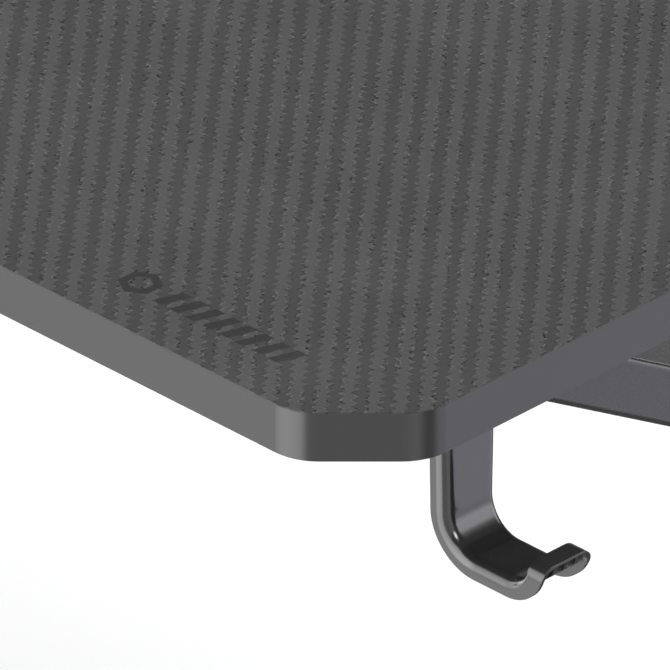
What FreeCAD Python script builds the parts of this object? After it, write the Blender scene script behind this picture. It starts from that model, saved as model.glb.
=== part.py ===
import FreeCAD
import Part

import math
import os

# L-shaped corner desk: three joined boards on two welded end frames, a corner post and four beams.
# Millimetres, +Z up, floor at Z = 0. The right wing runs along +X and the return wing along -Y.
# Both wings meet at the back left corner. The X centre allows for the hook that stands out at +X.

# ---- The desk as a whole ----
WIDTH = 1500.0
LENGTH = 1200.0
WING_DEPTH = 600.0
CORNER_CUT = 150.0
HEIGHT = 750.0

# ---- Boards ----
BOARD_T = 18.0
FILM_T = 0.5
BAND_T = 1.0
SEAM_GAP = 0.4
CHAMFER = 30.0
CHAMFER_R = 20.0

# ---- Steel tubes and plates ----
TUBE_WALL = 1.5
TUBE_R = 2.0
RAIL_W = 60.0
RAIL_H = 20.0
BEAM_W = 40.0
COLUMN_DEPTH = 40.0
POST_SIDE = 60.0
PLATE_T = 3.0
SEAM_PLATE_T = 2.0

# ---- End frame, measured back from the wing's front edge ----
FRAME_INSET = 40.0
TOP_RAIL_FRONT = 90.0
TOP_RAIL_BACK = 560.0
FOOT_RAIL_FRONT = 40.0
FOOT_RAIL_BACK = 560.0
COLUMN_FRONT = 400.0
ARM_ANGLE = 30.0
ARM_FRONT = 66.5
ARM_H = 20.0
RAIL_BOLT_FRONT = 200.0
RAIL_BOLT_BACK = 480.0

# ---- Beams, measured back from the wing's front edge ----
FRONT_BEAM_BACK = 130.0
REAR_BEAM_BACK = 520.0
PLATE_EAR = 16.0
PLATE_DROP = 40.0
PLATE_BOLT_EDGE = 10.0
BOLT_FROM_SEAM = 150.0
BOLT_FROM_END = 250.0

# ---- Corner post ----
POST_INSET = 40.0
HEAD_PLATE_LIP = 25.0
POST_CAP_T = 3.0

# ---- Rail end caps ----
CAP_FLANGE = 2.0
CAP_PLUG = 6.0
CAP_FIT = 0.2

# ---- Fasteners ----
BOLT_R = 3.0
BOLT_CLEAR = 0.3
BOLT_HEAD_R = 5.25
BOLT_HEAD_H = 3.3
BOLT_BITE = 11.0
KEY_R = 2.3
KEY_DEPTH = 2.0
INSERT_R = 5.0
INSERT_L = 12.0
INSERT_SPARE = 1.0
RIVET_NUT_R = 4.5
RIVET_NUT_L = 12.0
PLATE_BOLT_L = 10.0
SCREW_R = 2.0
SCREW_L = 14.0
SCREW_HEAD_R = 4.0
SCREW_HEAD_H = 2.4
DOWEL_R = 4.0
DOWEL_L = 40.0
DOWEL_FROM_EDGE = 80.0
DOWEL_COUNT = 3

# ---- Seam plates ----
SEAM_PLATE_LONG = 120.0
SEAM_PLATE_WIDE = 60.0
SEAM_PLATE_HOLE = 15.0

# ---- Levelling feet ----
FOOT_FRONT = 75.0
FOOT_BACK = 525.0
FOOT_GAP = 13.0
PAD_R = 19.0
PAD_FLANGE = 3.0
PAD_H = 7.4
PAD_BOSS_R = 11.0
PAD_ROUND = 1.2
PAD_FLOOR = 2.0
COLLAR_AF = 15.0
COLLAR_H = 5.0
TURN_GAP = 0.3
STUD_R = 4.0
STUD_TOP = 17.0
FOOT_NUT_R = 5.5
FOOT_NUT_L = 15.0
RUNNING_FIT = 0.05

# ---- Headphone hook, a J-shaped channel that opens outward under the right end ----
HOOK_MIDDLE = 70.0
HOOK_W = 24.4
HOOK_LOW_W = 22.0
HOOK_BACK = 27.0
HOOK_T = 7.0
HOOK_DROP = 59.0
HOOK_BACK_R = 19.0
HOOK_LIP_R = 17.0
HOOK_FLAT = 14.5
HOOK_LIP_ANGLE = 357.5
HOOK_LIP_CORNER = 5.6
HOOK_FLANGE = 33.0
HOOK_FLANGE_T = 4.0
HOOK_WEB = 4.1
HOOK_SIDE = 1.4
HOOK_RIM_ANGLE = 2.2
HOOK_RIB = 1.2
HOOK_RIBS = 3
HOOK_RIB_ANGLE = 315.0
HOOK_RIB_KNEE = 343.0
HOOK_RIB_STEP = 0.4
HOOK_SOFT_R = 4.4
HOOK_FAR_SOFT_R = 2.9
HOOK_FADE_R = 0.8
HOOK_SCREW_EDGE = 8.0
HOOK_SCREW_PITCH = 14.0

# ---- Places that follow from the sizes above ----
HOOK_LIP_X = HOOK_BACK_R - HOOK_BACK + HOOK_FLAT
HOOK_REACH = HOOK_LIP_X + HOOK_LIP_R * math.cos(math.radians(HOOK_LIP_ANGLE))
X_MIN = -(WIDTH + HOOK_REACH) / 2
X_MAX = X_MIN + WIDTH
Y_MIN = -LENGTH / 2
Y_MAX = LENGTH / 2
X_INNER = X_MIN + WING_DEPTH
Y_FRONT = Y_MAX - WING_DEPTH
SEAM_X = X_INNER + CORNER_CUT
SEAM_Y = Y_FRONT - CORNER_CUT
UNDERSIDE = HEIGHT - BOARD_T
FILM_Z = HEIGHT - FILM_T
RAIL_Z = UNDERSIDE - RAIL_H
FOOT_RAIL_TOP = FOOT_GAP + RAIL_H
FRAME_MID = FRAME_INSET + RAIL_W / 2
RIGHT_MID = X_MAX - FRAME_MID
RETURN_MID = Y_MIN + FRAME_MID
POST_X = X_MIN + POST_INSET + POST_SIDE / 2
POST_Y = Y_MAX - POST_INSET - POST_SIDE / 2
POST_TOP = UNDERSIDE - PLATE_T
PLATE_HALF = BEAM_W / 2 + PLATE_EAR
FRONT_BEAM_Y = Y_FRONT + FRONT_BEAM_BACK
REAR_BEAM_Y = Y_FRONT + REAR_BEAM_BACK
INNER_BEAM_X = X_INNER - FRONT_BEAM_BACK
OUTER_BEAM_X = X_INNER - REAR_BEAM_BACK

V = FreeCAD.Vector
UP = V(0, 0, 1)
SMALL = 0.01


# ---- Basic shapes ----
def cylinder(radius, length, start, direction):
    """A round bar from start along direction."""
    return Part.makeCylinder(radius, length, start, direction)


def ring(outer, inner, length, start, direction):
    """A round sleeve from start along direction."""
    bar = cylinder(outer, length, start, direction)
    return bar.cut(cylinder(inner, length, start, direction))


def box(x0, x1, y0, y1, z0, z1):
    """A block between the given limits."""
    return Part.makeBox(x1 - x0, y1 - y0, z1 - z0, V(x0, y0, z0))


def placed(shape, position, axis=UP, angle=0.0):
    """A copy of a shape, turned about the origin and then moved."""
    copy = shape.copy()
    copy.Placement = FreeCAD.Placement(position, FreeCAD.Rotation(axis, angle)).multiply(copy.Placement)
    return copy


def rounded_face(corners):
    """A flat face in the XY plane through (x, y, radius) corners, given anticlockwise."""
    starts = []
    edges = []
    count = len(corners)
    for i in range(count):
        x, y, radius = corners[i]
        here = V(x, y, 0)
        back = V(*corners[i - 1][:2], 0) - here
        ahead = V(*corners[(i + 1) % count][:2], 0) - here
        if radius == 0:
            starts.append((here, here))
            continue
        half = back.getAngle(ahead) / 2
        back.normalize()
        ahead.normalize()
        reach = radius / math.tan(half)
        middle = back + ahead
        middle.normalize()
        enter = here + back * reach
        leave = here + ahead * reach
        top = here + middle * (radius / math.sin(half) - radius)
        edges.append(Part.Arc(enter, top, leave).toShape())
        starts.append((enter, leave))
    for i in range(count):
        edges.append(Part.LineSegment(starts[i][1], starts[(i + 1) % count][0]).toShape())
    return Part.Face(Part.Wire(Part.__sortEdges__(edges)))


def prism(face, z0, z1):
    """A face in the XY plane made solid between two heights."""
    return placed(face, V(0, 0, z0)).extrude(V(0, 0, z1 - z0))


def rectangle(width, depth, radius):
    """A rounded rectangle centred on the origin."""
    x = width / 2
    y = depth / 2
    return rounded_face([(-x, -y, radius), (x, -y, radius), (x, y, radius), (-x, y, radius)])


def tube(width, depth, length):
    """A welded rectangular tube that stands on the origin along +Z."""
    outer = rectangle(width, depth, TUBE_R)
    inner = rectangle(width - 2 * TUBE_WALL, depth - 2 * TUBE_WALL, TUBE_R - TUBE_WALL)
    return prism(outer, 0, length).cut(prism(inner, 0, length))


def level_tube(height, width, length):
    """The same tube lying from the origin along +X."""
    return placed(tube(height, width, length), V(0, 0, 0), V(0, 1, 0), 90)


# ---- Boards ----
def with_chamfers(points):
    """Turns (x, y, outer) points into corners, each outer one cut at 45 degrees and rounded."""
    corners = []
    for i, (x, y, outer) in enumerate(points):
        if not outer:
            corners.append((x, y, 0))
            continue
        here = V(x, y, 0)
        for near in (points[i - 1], points[(i + 1) % len(points)]):
            step = V(near[0], near[1], 0) - here
            step.normalize()
            cut = here + step * CHAMFER
            corners.append((cut.x, cut.y, CHAMFER_R))
    return corners


def board_faces():
    """The outline of each board, anticlockwise."""
    gap = SEAM_GAP / 2
    return {
        "right_board": rounded_face(with_chamfers([
            (SEAM_X + gap, Y_FRONT, False),
            (X_MAX, Y_FRONT, True),
            (X_MAX, Y_MAX, True),
            (SEAM_X + gap, Y_MAX, False),
        ])),
        "corner_board": rounded_face(with_chamfers([
            (X_MIN, SEAM_Y + gap, False),
            (X_INNER, SEAM_Y + gap, False),
            (SEAM_X - gap, Y_FRONT, False),
            (SEAM_X - gap, Y_MAX, False),
            (X_MIN, Y_MAX, True),
        ])),
        "return_board": rounded_face(with_chamfers([
            (X_MIN, Y_MIN, True),
            (X_INNER, Y_MIN, True),
            (X_INNER, SEAM_Y - gap, False),
            (X_MIN, SEAM_Y - gap, False),
        ])),
    }


def boards(cuts):
    """Each board's core, top film and edge band, with the cuts made in the core and band."""
    parts = {}
    for name, face in board_faces().items():
        whole = prism(face, UNDERSIDE, FILM_Z)
        core = prism(face.makeOffset2D(-BAND_T, 2), UNDERSIDE, FILM_Z)
        parts[name + "_core"] = core.cut(cuts)
        parts[name + "_edge_band"] = whole.cut(core).cut(cuts)
        parts[name + "_top_film"] = prism(face, FILM_Z, HEIGHT)
    return parts


def dowels():
    """Wooden dowels across both seams, in the middle of the core's height."""
    middle = (UNDERSIDE + FILM_Z) / 2
    bars = []
    for i in range(DOWEL_COUNT):
        along = DOWEL_FROM_EDGE + i * (WING_DEPTH - 2 * DOWEL_FROM_EDGE) / (DOWEL_COUNT - 1)
        bars.append(cylinder(DOWEL_R, DOWEL_L, V(SEAM_X - DOWEL_L / 2, Y_FRONT + along, middle), V(1, 0, 0)))
        bars.append(cylinder(DOWEL_R, DOWEL_L, V(X_INNER - along, SEAM_Y - DOWEL_L / 2, middle), V(0, 1, 0)))
    return bars


# ---- Fasteners ----
def desktop_bolt_places():
    """Where bolts rise through the rails and beams into the boards."""
    places = []
    for back in (RAIL_BOLT_FRONT, RAIL_BOLT_BACK):
        places.append((RIGHT_MID, Y_FRONT + back))
        places.append((X_INNER - back, RETURN_MID))
    for x in (SEAM_X + BOLT_FROM_SEAM, X_MAX - BOLT_FROM_END):
        places.append((x, REAR_BEAM_Y))
        places.append((x, FRONT_BEAM_Y))
    for x in (SEAM_X - BOLT_FROM_SEAM, X_MIN + BOLT_FROM_END):
        places.append((x, REAR_BEAM_Y))
    places.append((SEAM_X - BOLT_FROM_SEAM, FRONT_BEAM_Y))
    for y in (SEAM_Y - BOLT_FROM_SEAM / 2, Y_MIN + BOLT_FROM_SEAM, SEAM_Y + BOLT_FROM_SEAM, Y_MAX - BOLT_FROM_END):
        places.append((INNER_BEAM_X, y))
        places.append((OUTER_BEAM_X, y))
    return places


def button_bolt(length, start, direction):
    """A button-head bolt: start is under its head, and direction is where its shank points."""
    unit = V(direction)
    head = cylinder(BOLT_HEAD_R, BOLT_HEAD_H, start - unit * BOLT_HEAD_H, unit)
    rim = [edge for edge in head.Edges if (edge.CenterOfMass - start).Length > BOLT_HEAD_H / 2
           and edge.Closed]
    head = head.makeFillet(BOLT_HEAD_H / 2, rim)
    key = cylinder(KEY_R, KEY_DEPTH, start - unit * BOLT_HEAD_H, unit)
    return head.cut(key).fuse(cylinder(BOLT_R, length, start, unit)).removeSplitter()


def desktop_bolts():
    """Bolts from under the rails and beams up into the boards' threaded inserts."""
    return [button_bolt(RAIL_H + BOLT_BITE, V(x, y, RAIL_Z), UP) for x, y in desktop_bolt_places()]


def threaded_inserts():
    """Steel inserts in the boards' undersides, one above each desktop bolt."""
    return [ring(INSERT_R, BOLT_R, INSERT_L, V(x, y, UNDERSIDE), UP) for x, y in desktop_bolt_places()]


def wood_screw(start, grip):
    """A pan-head screw pointing up: start is under its head, below what it holds."""
    head = cylinder(SCREW_HEAD_R, SCREW_HEAD_H, start - UP * SCREW_HEAD_H, UP)
    key = cylinder(SCREW_R / 2, SCREW_HEAD_H / 2, start - UP * SCREW_HEAD_H, UP)
    return head.cut(key).fuse(cylinder(SCREW_R, grip + SCREW_L - SCREW_HEAD_H, start, UP)).removeSplitter()


def screw_holes(places, z0, z1):
    """Round holes that fit the wood screws between two heights."""
    return [cylinder(SCREW_R, z1 - z0, V(x, y, z0), UP) for x, y in places]


# ---- Seam plates ----
def seam_plate(x, y, along_x):
    """A flat steel plate under a seam, its screws, and the screws' places."""
    long = SEAM_PLATE_LONG / 2
    wide = SEAM_PLATE_WIDE / 2
    half_x, half_y = (long, wide) if along_x else (wide, long)
    places = []
    for side_x in (-1, 1):
        for side_y in (-1, 1):
            places.append((x + side_x * (half_x - SEAM_PLATE_HOLE), y + side_y * (half_y - SEAM_PLATE_HOLE)))
    bottom = UNDERSIDE - SEAM_PLATE_T
    plate = box(x - half_x, x + half_x, y - half_y, y + half_y, bottom, UNDERSIDE)
    uprights = [edge for edge in plate.Edges if abs(edge.tangentAt(edge.FirstParameter).z) > 0.5]
    plate = plate.makeFillet(TUBE_R, uprights)
    for hole in screw_holes(places, bottom, UNDERSIDE):
        plate = plate.cut(hole)
    screws = [wood_screw(V(px, py, bottom), SEAM_PLATE_T) for px, py in places]
    return plate, screws, places


# ---- End frames ----
def slot_cut(shape, places, z0, z1):
    """Cuts a clearance hole for a desktop bolt at each place."""
    for x, y in places:
        shape = shape.cut(cylinder(BOLT_R + BOLT_CLEAR, z1 - z0, V(x, y, z0), UP))
    return shape


def rail(front, back, z0):
    """A level rail of the end frame, seen in the frame's own directions."""
    return placed(level_tube(RAIL_H, RAIL_W, back - front), V(front, 0, z0 + RAIL_H / 2))


def upper_arm():
    """The sloping arm that runs down and back from the top rail to the column."""
    slope = math.radians(ARM_ANGLE)
    rise = V(math.sin(slope), 0, math.cos(slope)) * (ARM_H / 2)
    length = 2 * (COLUMN_FRONT - ARM_FRONT)
    bar = placed(level_tube(ARM_H, RAIL_W, length), V(ARM_FRONT, 0, UNDERSIDE) + rise, V(0, 1, 0), ARM_ANGLE)
    return bar.common(box(0, COLUMN_FRONT, -RAIL_W, RAIL_W, FOOT_RAIL_TOP, RAIL_Z))


def end_cap(position, outward):
    """A push-in plastic cap for a rail's open end; outward is +1 at its back end and -1 at its front."""
    inside = TUBE_WALL + CAP_FIT
    flange = placed(prism(rectangle(RAIL_H, RAIL_W, TUBE_R), 0, CAP_FLANGE), V(0, 0, 0), V(0, 1, 0), 90)
    plug = box(-CAP_PLUG, 0, -RAIL_W / 2 + inside, RAIL_W / 2 - inside, -RAIL_H / 2 + inside, RAIL_H / 2 - inside)
    return placed(flange.fuse(plug), position, UP, 0 if outward > 0 else 180)


def end_frame():
    """An end frame's pieces: X is the distance back from the wing's front edge, Y is from its middle."""
    middle = (RAIL_Z + FOOT_RAIL_TOP) / 2
    bolts = [(RAIL_BOLT_FRONT, 0), (RAIL_BOLT_BACK, 0)]
    feet = rail(FOOT_RAIL_FRONT, FOOT_RAIL_BACK, FOOT_GAP)
    for back in (FOOT_FRONT, FOOT_BACK):
        feet = feet.cut(cylinder(FOOT_NUT_R, FOOT_NUT_L, V(back, 0, FOOT_GAP), UP))
    column = placed(tube(COLUMN_DEPTH, RAIL_W, RAIL_Z - FOOT_RAIL_TOP),
                    V(COLUMN_FRONT + COLUMN_DEPTH / 2, 0, FOOT_RAIL_TOP))
    caps = []
    for front, back, z in ((TOP_RAIL_FRONT, TOP_RAIL_BACK, RAIL_Z), (FOOT_RAIL_FRONT, FOOT_RAIL_BACK, FOOT_GAP)):
        caps.append(end_cap(V(front, 0, z + RAIL_H / 2), -1))
        caps.append(end_cap(V(back, 0, z + RAIL_H / 2), 1))
    return {
        "top_rail": slot_cut(rail(TOP_RAIL_FRONT, TOP_RAIL_BACK, RAIL_Z), bolts, RAIL_Z, UNDERSIDE),
        "upper_arm": upper_arm(),
        "column": column,
        "lower_arm": upper_arm().mirror(V(0, 0, middle), UP),
        "foot_rail": feet,
        "rail_end_caps": Part.makeCompound(caps),
    }


# ---- Beams ----
class Beam:
    """A level beam between two faces, with a welded, bolted plate at each end."""

    def __init__(self, start, end, hung_at_end=False, hung_at_start=False):
        self.start = V(start[0], start[1], RAIL_Z + RAIL_H / 2)
        self.length = (V(end[0], end[1], self.start.z) - self.start).Length
        self.angle = 90.0 if end[1] != start[1] else 0.0
        self.hung = (hung_at_start, hung_at_end)

    def spots(self, at_end):
        """Bolt places in the beam's own YZ directions."""
        if self.hung[at_end]:
            low = -RAIL_H / 2 - PLATE_DROP + PLATE_BOLT_EDGE
            return [(0, low), (0, low + PLATE_DROP - 2 * PLATE_BOLT_EDGE)]
        reach = PLATE_HALF - PLATE_BOLT_EDGE
        return [(-reach, 0), (reach, 0)]

    def plate(self, at_end):
        """The plate at one end, in the beam's own directions."""
        near = self.length - PLATE_T if at_end else 0
        if self.hung[at_end]:
            body = box(near, near + PLATE_T, -BEAM_W / 2, BEAM_W / 2, -RAIL_H / 2 - PLATE_DROP, RAIL_H / 2)
        else:
            body = box(near, near + PLATE_T, -PLATE_HALF, PLATE_HALF, -RAIL_H / 2, RAIL_H / 2)
        for y, z in self.spots(at_end):
            body = body.cut(cylinder(BOLT_R + BOLT_CLEAR, PLATE_T, V(near, y, z), V(1, 0, 0)))
        return body

    def at_home(self, shape):
        """A shape in the beam's own directions, put in its place on the desk."""
        return placed(shape, self.start, UP, self.angle)

    def tube(self):
        """The beam's tube, with holes for the desktop bolts that pass through it."""
        bar = placed(level_tube(RAIL_H, BEAM_W, self.length - 2 * PLATE_T), V(PLATE_T, 0, 0))
        return slot_cut(self.at_home(bar), desktop_bolt_places(), RAIL_Z, UNDERSIDE)

    def plates(self):
        """Both end plates in place."""
        return [self.at_home(self.plate(at_end)) for at_end in (False, True)]

    def fixings(self):
        """The plates' bolts, and the solid slugs that their rivet nuts fill in what they join."""
        bolts = []
        slugs = []
        nuts = []
        for at_end in (False, True):
            face = self.length if at_end else 0
            into = V(1, 0, 0) if at_end else V(-1, 0, 0)
            for y, z in self.spots(at_end):
                seat = V(face, y, z)
                bolts.append(self.at_home(button_bolt(PLATE_T + PLATE_BOLT_L, seat - into * PLATE_T, into)))
                slugs.append(self.at_home(cylinder(RIVET_NUT_R, RIVET_NUT_L, seat, into)))
                nuts.append(self.at_home(ring(RIVET_NUT_R, BOLT_R, RIVET_NUT_L, seat, into)))
        return bolts, slugs, nuts


def beams():
    """The four beams by name."""
    rail_face = RAIL_W / 2
    beam_face = BEAM_W / 2
    post_face = POST_SIDE / 2
    return {
        "rear_beam": Beam((POST_X + post_face, REAR_BEAM_Y), (RIGHT_MID - rail_face, REAR_BEAM_Y),
                          hung_at_start=True),
        "front_beam": Beam((INNER_BEAM_X + beam_face, FRONT_BEAM_Y), (RIGHT_MID - rail_face, FRONT_BEAM_Y)),
        "return_outer_beam": Beam((OUTER_BEAM_X, RETURN_MID + rail_face), (OUTER_BEAM_X, POST_Y - post_face),
                                  hung_at_end=True),
        "return_inner_beam": Beam((INNER_BEAM_X, RETURN_MID + rail_face), (INNER_BEAM_X, REAR_BEAM_Y - beam_face)),
    }


# ---- Corner post ----
def head_plate_places():
    """Screw places in the head plate's two outer lips."""
    out_x = POST_X - POST_SIDE / 2 - HEAD_PLATE_LIP / 2
    out_y = POST_Y + POST_SIDE / 2 + HEAD_PLATE_LIP / 2
    return [(out_x, POST_Y - POST_SIDE / 4), (out_x, out_y), (POST_X + POST_SIDE / 4, out_y)]


def head_plate():
    """The square plate welded on the post, with lips on its two outer sides."""
    x0 = POST_X - POST_SIDE / 2 - HEAD_PLATE_LIP
    y1 = POST_Y + POST_SIDE / 2 + HEAD_PLATE_LIP
    plate = box(x0, POST_X + POST_SIDE / 2, POST_Y - POST_SIDE / 2, y1, POST_TOP, UNDERSIDE)
    for hole in screw_holes(head_plate_places(), POST_TOP, UNDERSIDE):
        plate = plate.cut(hole)
    return plate


def post_foot_plug():
    """The plastic plug in the post's lower end, bored for the foot's threaded sleeve."""
    inside = POST_SIDE - 2 * (TUBE_WALL + CAP_FIT)
    flange = prism(rectangle(POST_SIDE, POST_SIDE, TUBE_R), FOOT_GAP, FOOT_GAP + POST_CAP_T)
    plug = prism(rectangle(inside, inside, TUBE_R - TUBE_WALL), FOOT_GAP + POST_CAP_T, FOOT_GAP + FOOT_NUT_L)
    bore = cylinder(FOOT_NUT_R, FOOT_NUT_L, V(0, 0, FOOT_GAP), UP)
    return placed(flange.fuse(plug).cut(bore), V(POST_X, POST_Y, 0))


# ---- Levelling feet ----
def foot_places():
    """The five feet by name."""
    return {
        "right_front": (RIGHT_MID, Y_FRONT + FOOT_FRONT),
        "right_back": (RIGHT_MID, Y_FRONT + FOOT_BACK),
        "return_inner": (X_INNER - FOOT_FRONT, RETURN_MID),
        "return_outer": (X_INNER - FOOT_BACK, RETURN_MID),
        "corner": (POST_X, POST_Y),
    }


def foot_pad():
    """The round pad that stands on the floor, with a blind socket for its stud."""
    flange = cylinder(PAD_R, PAD_FLANGE, V(0, 0, 0), UP)
    top = [edge for edge in flange.Edges if edge.Closed and edge.CenterOfMass.z > PAD_FLANGE / 2]
    flange = flange.makeFillet(PAD_ROUND, top)
    boss = cylinder(PAD_BOSS_R, PAD_H, V(0, 0, 0), UP)
    socket = cylinder(STUD_R + RUNNING_FIT, PAD_H, V(0, 0, PAD_FLOOR), UP)
    return flange.fuse(boss).cut(socket)


def foot_stud():
    """The threaded stud with its hexagonal collar, screwed right in."""
    collar_z = FOOT_GAP - TURN_GAP - COLLAR_H
    points = []
    for i in range(6):
        turn = math.radians(60 * i)
        reach = COLLAR_AF / math.sqrt(3)
        points.append((reach * math.cos(turn), reach * math.sin(turn), 0))
    collar = prism(rounded_face(points), collar_z, collar_z + COLLAR_H)
    foot = PAD_FLOOR + TURN_GAP
    return collar.fuse(cylinder(STUD_R, FOOT_GAP + STUD_TOP - foot, V(0, 0, foot), UP))


# ---- Headphone hook ----
# Its own frame: x from the board's right end, y from the hook's middle, z from the board's underside.
def bend_spot(depth, angle):
    """A point of the back bend, by its depth from the outer surface and its angle in degrees."""
    turn = math.radians(angle)
    radius = HOOK_BACK_R - depth
    x = HOOK_BACK_R - HOOK_BACK + radius * math.cos(turn)
    return V(x, 0, HOOK_BACK_R - HOOK_DROP + radius * math.sin(turn))


def lip_spot(depth, angle):
    """A point of the lip's bend, by its depth from the outer surface and its angle in degrees."""
    turn = math.radians(angle)
    radius = HOOK_LIP_R - depth
    return V(HOOK_LIP_X + radius * math.cos(turn), 0, HOOK_LIP_R - HOOK_DROP + radius * math.sin(turn))


def outline_face(*runs):
    """A face through runs of points: three points make an arc, and straight lines join the runs."""
    edges = []
    for i, run in enumerate(runs):
        edges.append(Part.LineSegment(runs[i - 1][-1], run[0]).toShape())
        if len(run) == 3:
            edges.append(Part.Arc(*run).toShape())
    return Part.Face(Part.Wire(edges))


def strap_bar(near, far, top):
    """The strap, back bend and flat between two depths from the outer surface, up to a height."""
    outer = [bend_spot(near, angle) for angle in (180, 225, 270)]
    inner = [bend_spot(far, angle) for angle in (270, 225, 180)]
    outer_top = V(outer[0].x, 0, top)
    inner_top = V(inner[2].x, 0, top)
    face = outline_face([outer_top], outer, [lip_spot(near, 270)], [lip_spot(far, 270)], inner, [inner_top])
    return placed(face, V(0, -HOOK_W, 0)).extrude(V(0, 2 * HOOK_W, 0))


def lip_bar(near, far, end):
    """The lip's bend between two depths from the outer surface, up to an angle."""
    half = (270 + end) / 2
    outer = [lip_spot(near, angle) for angle in (270, half, end)]
    inner = [lip_spot(far, angle) for angle in (end, half, 270)]
    return placed(outline_face(outer, inner), V(0, -HOOK_W, 0)).extrude(V(0, 2 * HOOK_W, 0))


def half_width(z):
    """Half the hook's width at a height: it narrows evenly downward."""
    return (HOOK_W + (HOOK_W - HOOK_LOW_W) * z / HOOK_DROP) / 2


def envelope(inset, top, corner):
    """A block with the hook's tapered sides, inset from them, and with rounded top corners."""
    low = -HOOK_DROP - HOOK_T
    face = rounded_face([
        (inset - half_width(low), low, 0),
        (half_width(low) - inset, low, 0),
        (half_width(top) - inset, top, corner),
        (inset - half_width(top), top, corner),
    ])
    start = -HOOK_BACK - HOOK_T
    return placed(face, V(start, 0, 0), V(1, 1, 1), 120).extrude(V(HOOK_REACH - start + HOOK_T, 0, 0))


def depth_of(point):
    """How deep a point lies from the hook's outer surface."""
    back = bend_spot(HOOK_BACK_R, 0)
    lip = lip_spot(HOOK_LIP_R, 0)
    if point.x > lip.x:
        return HOOK_LIP_R - math.hypot(point.x - lip.x, point.z - lip.z)
    if point.x > back.x:
        return point.z + HOOK_DROP
    if point.z > back.z:
        return point.x + HOOK_BACK
    return HOOK_BACK_R - math.hypot(point.x - back.x, point.z - back.z)


def long_edges(shape, depth):
    """The edges that run along the hook's two sides at a depth from its outer surface."""
    found = []
    for edge in shape.Edges:
        spots = [edge.valueAt(edge.FirstParameter), edge.valueAt(edge.LastParameter),
                 edge.valueAt((edge.FirstParameter + edge.LastParameter) / 2)]
        on_side = all(abs(abs(spot.y) - half_width(spot.z)) < SMALL for spot in spots)
        if on_side and all(abs(depth_of(spot) - depth) < SMALL for spot in spots):
            found.append(edge)
    return found


def hook_lip():
    """The lip: its inner edges' rounding fades towards its tip, whose corners are round."""
    lip = lip_bar(0, HOOK_T, HOOK_LIP_ANGLE)
    lip = lip.common(envelope(0, HOOK_REACH, 0))
    for side in (-1, 1):
        edge = [e for e in long_edges(lip, HOOK_T) if e.CenterOfMass.y * side > 0][0]
        starts_low = edge.valueAt(edge.FirstParameter).z < edge.valueAt(edge.LastParameter).z
        soft = HOOK_FAR_SOFT_R if side > 0 else HOOK_SOFT_R
        radii = (soft, HOOK_FADE_R) if starts_low else (HOOK_FADE_R, soft)
        lip = lip.makeFillet(*radii, [edge])
    tip = lip_spot(HOOK_T, HOOK_LIP_ANGLE).z
    return lip.common(envelope(0, tip, HOOK_LIP_CORNER)), tip


def hook_rib(y, rim):
    """A small rib behind the lip's rim: it stands full height down to a knee, then slopes to the web."""
    web = HOOK_T - HOOK_WEB
    points = [lip_spot(HOOK_RIB_STEP, rim), lip_spot(HOOK_RIB_STEP, HOOK_RIB_KNEE), lip_spot(web, HOOK_RIB_ANGLE),
              lip_spot(web + HOOK_RIB_STEP, HOOK_RIB_ANGLE), lip_spot(web + HOOK_RIB_STEP, rim)]
    face = Part.Face(Part.makePolygon(points + points[:1]))
    return placed(face, V(0, y - HOOK_RIB / 2, 0)).extrude(V(0, HOOK_RIB, 0))


def hook_flange():
    """The flange under the board, with its two free corners rounded."""
    flange = box(-HOOK_BACK - HOOK_FLANGE, -HOOK_BACK + HOOK_T / 2, -HOOK_W / 2, HOOK_W / 2, -HOOK_FLANGE_T, 0)
    corners = []
    for edge in flange.Edges:
        upright = abs(edge.tangentAt(edge.FirstParameter).z) > 0.5
        if upright and edge.CenterOfMass.x < -HOOK_BACK:
            corners.append(edge)
    return flange.makeFillet(HOOK_FLANGE_T, corners)


def hook_screw_places():
    """Screw places in the hook's flange, on the desk."""
    first = X_MAX - HOOK_BACK - HOOK_FLANGE + HOOK_SCREW_EDGE
    return [(first + i * HOOK_SCREW_PITCH, Y_FRONT + HOOK_MIDDLE) for i in (0, 1)]


def headphone_hook():
    """A moulded J-shaped channel, open on its outer side, with a flange for two screws."""
    strap = strap_bar(0, HOOK_T, 0).common(envelope(0, HOOK_T, 0))
    for soft, side in ((HOOK_SOFT_R, -1), (HOOK_FAR_SOFT_R, 1)):
        strap = strap.makeFillet(soft, [e for e in long_edges(strap, HOOK_T) if e.CenterOfMass.y * side > 0])
    lip, tip = hook_lip()
    web = HOOK_T - HOOK_WEB
    rim = HOOK_LIP_ANGLE - HOOK_RIM_ANGLE
    hook = strap.fuse(lip)
    hook = hook.cut(strap_bar(-HOOK_T, web, -2 * HOOK_FLANGE_T).common(envelope(HOOK_SIDE, HOOK_T, 0)))
    inner = lip_bar(-HOOK_T, web, rim)
    hook = hook.cut(inner.common(envelope(HOOK_SIDE, tip - HOOK_SIDE, HOOK_LIP_CORNER - HOOK_SIDE)))
    pitch = (HOOK_LOW_W - 2 * HOOK_SIDE + HOOK_RIB) / (HOOK_RIBS + 1)
    for i in range(HOOK_RIBS):
        hook = hook.fuse(hook_rib((i - (HOOK_RIBS - 1) / 2) * pitch, rim + SMALL))
    hook = hook.fuse(hook_flange()).removeSplitter()
    hook = placed(hook, V(X_MAX, Y_FRONT + HOOK_MIDDLE, UNDERSIDE))
    for hole in screw_holes(hook_screw_places(), UNDERSIDE - HOOK_FLANGE_T, UNDERSIDE):
        hook = hook.cut(hole)
    return hook


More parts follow.
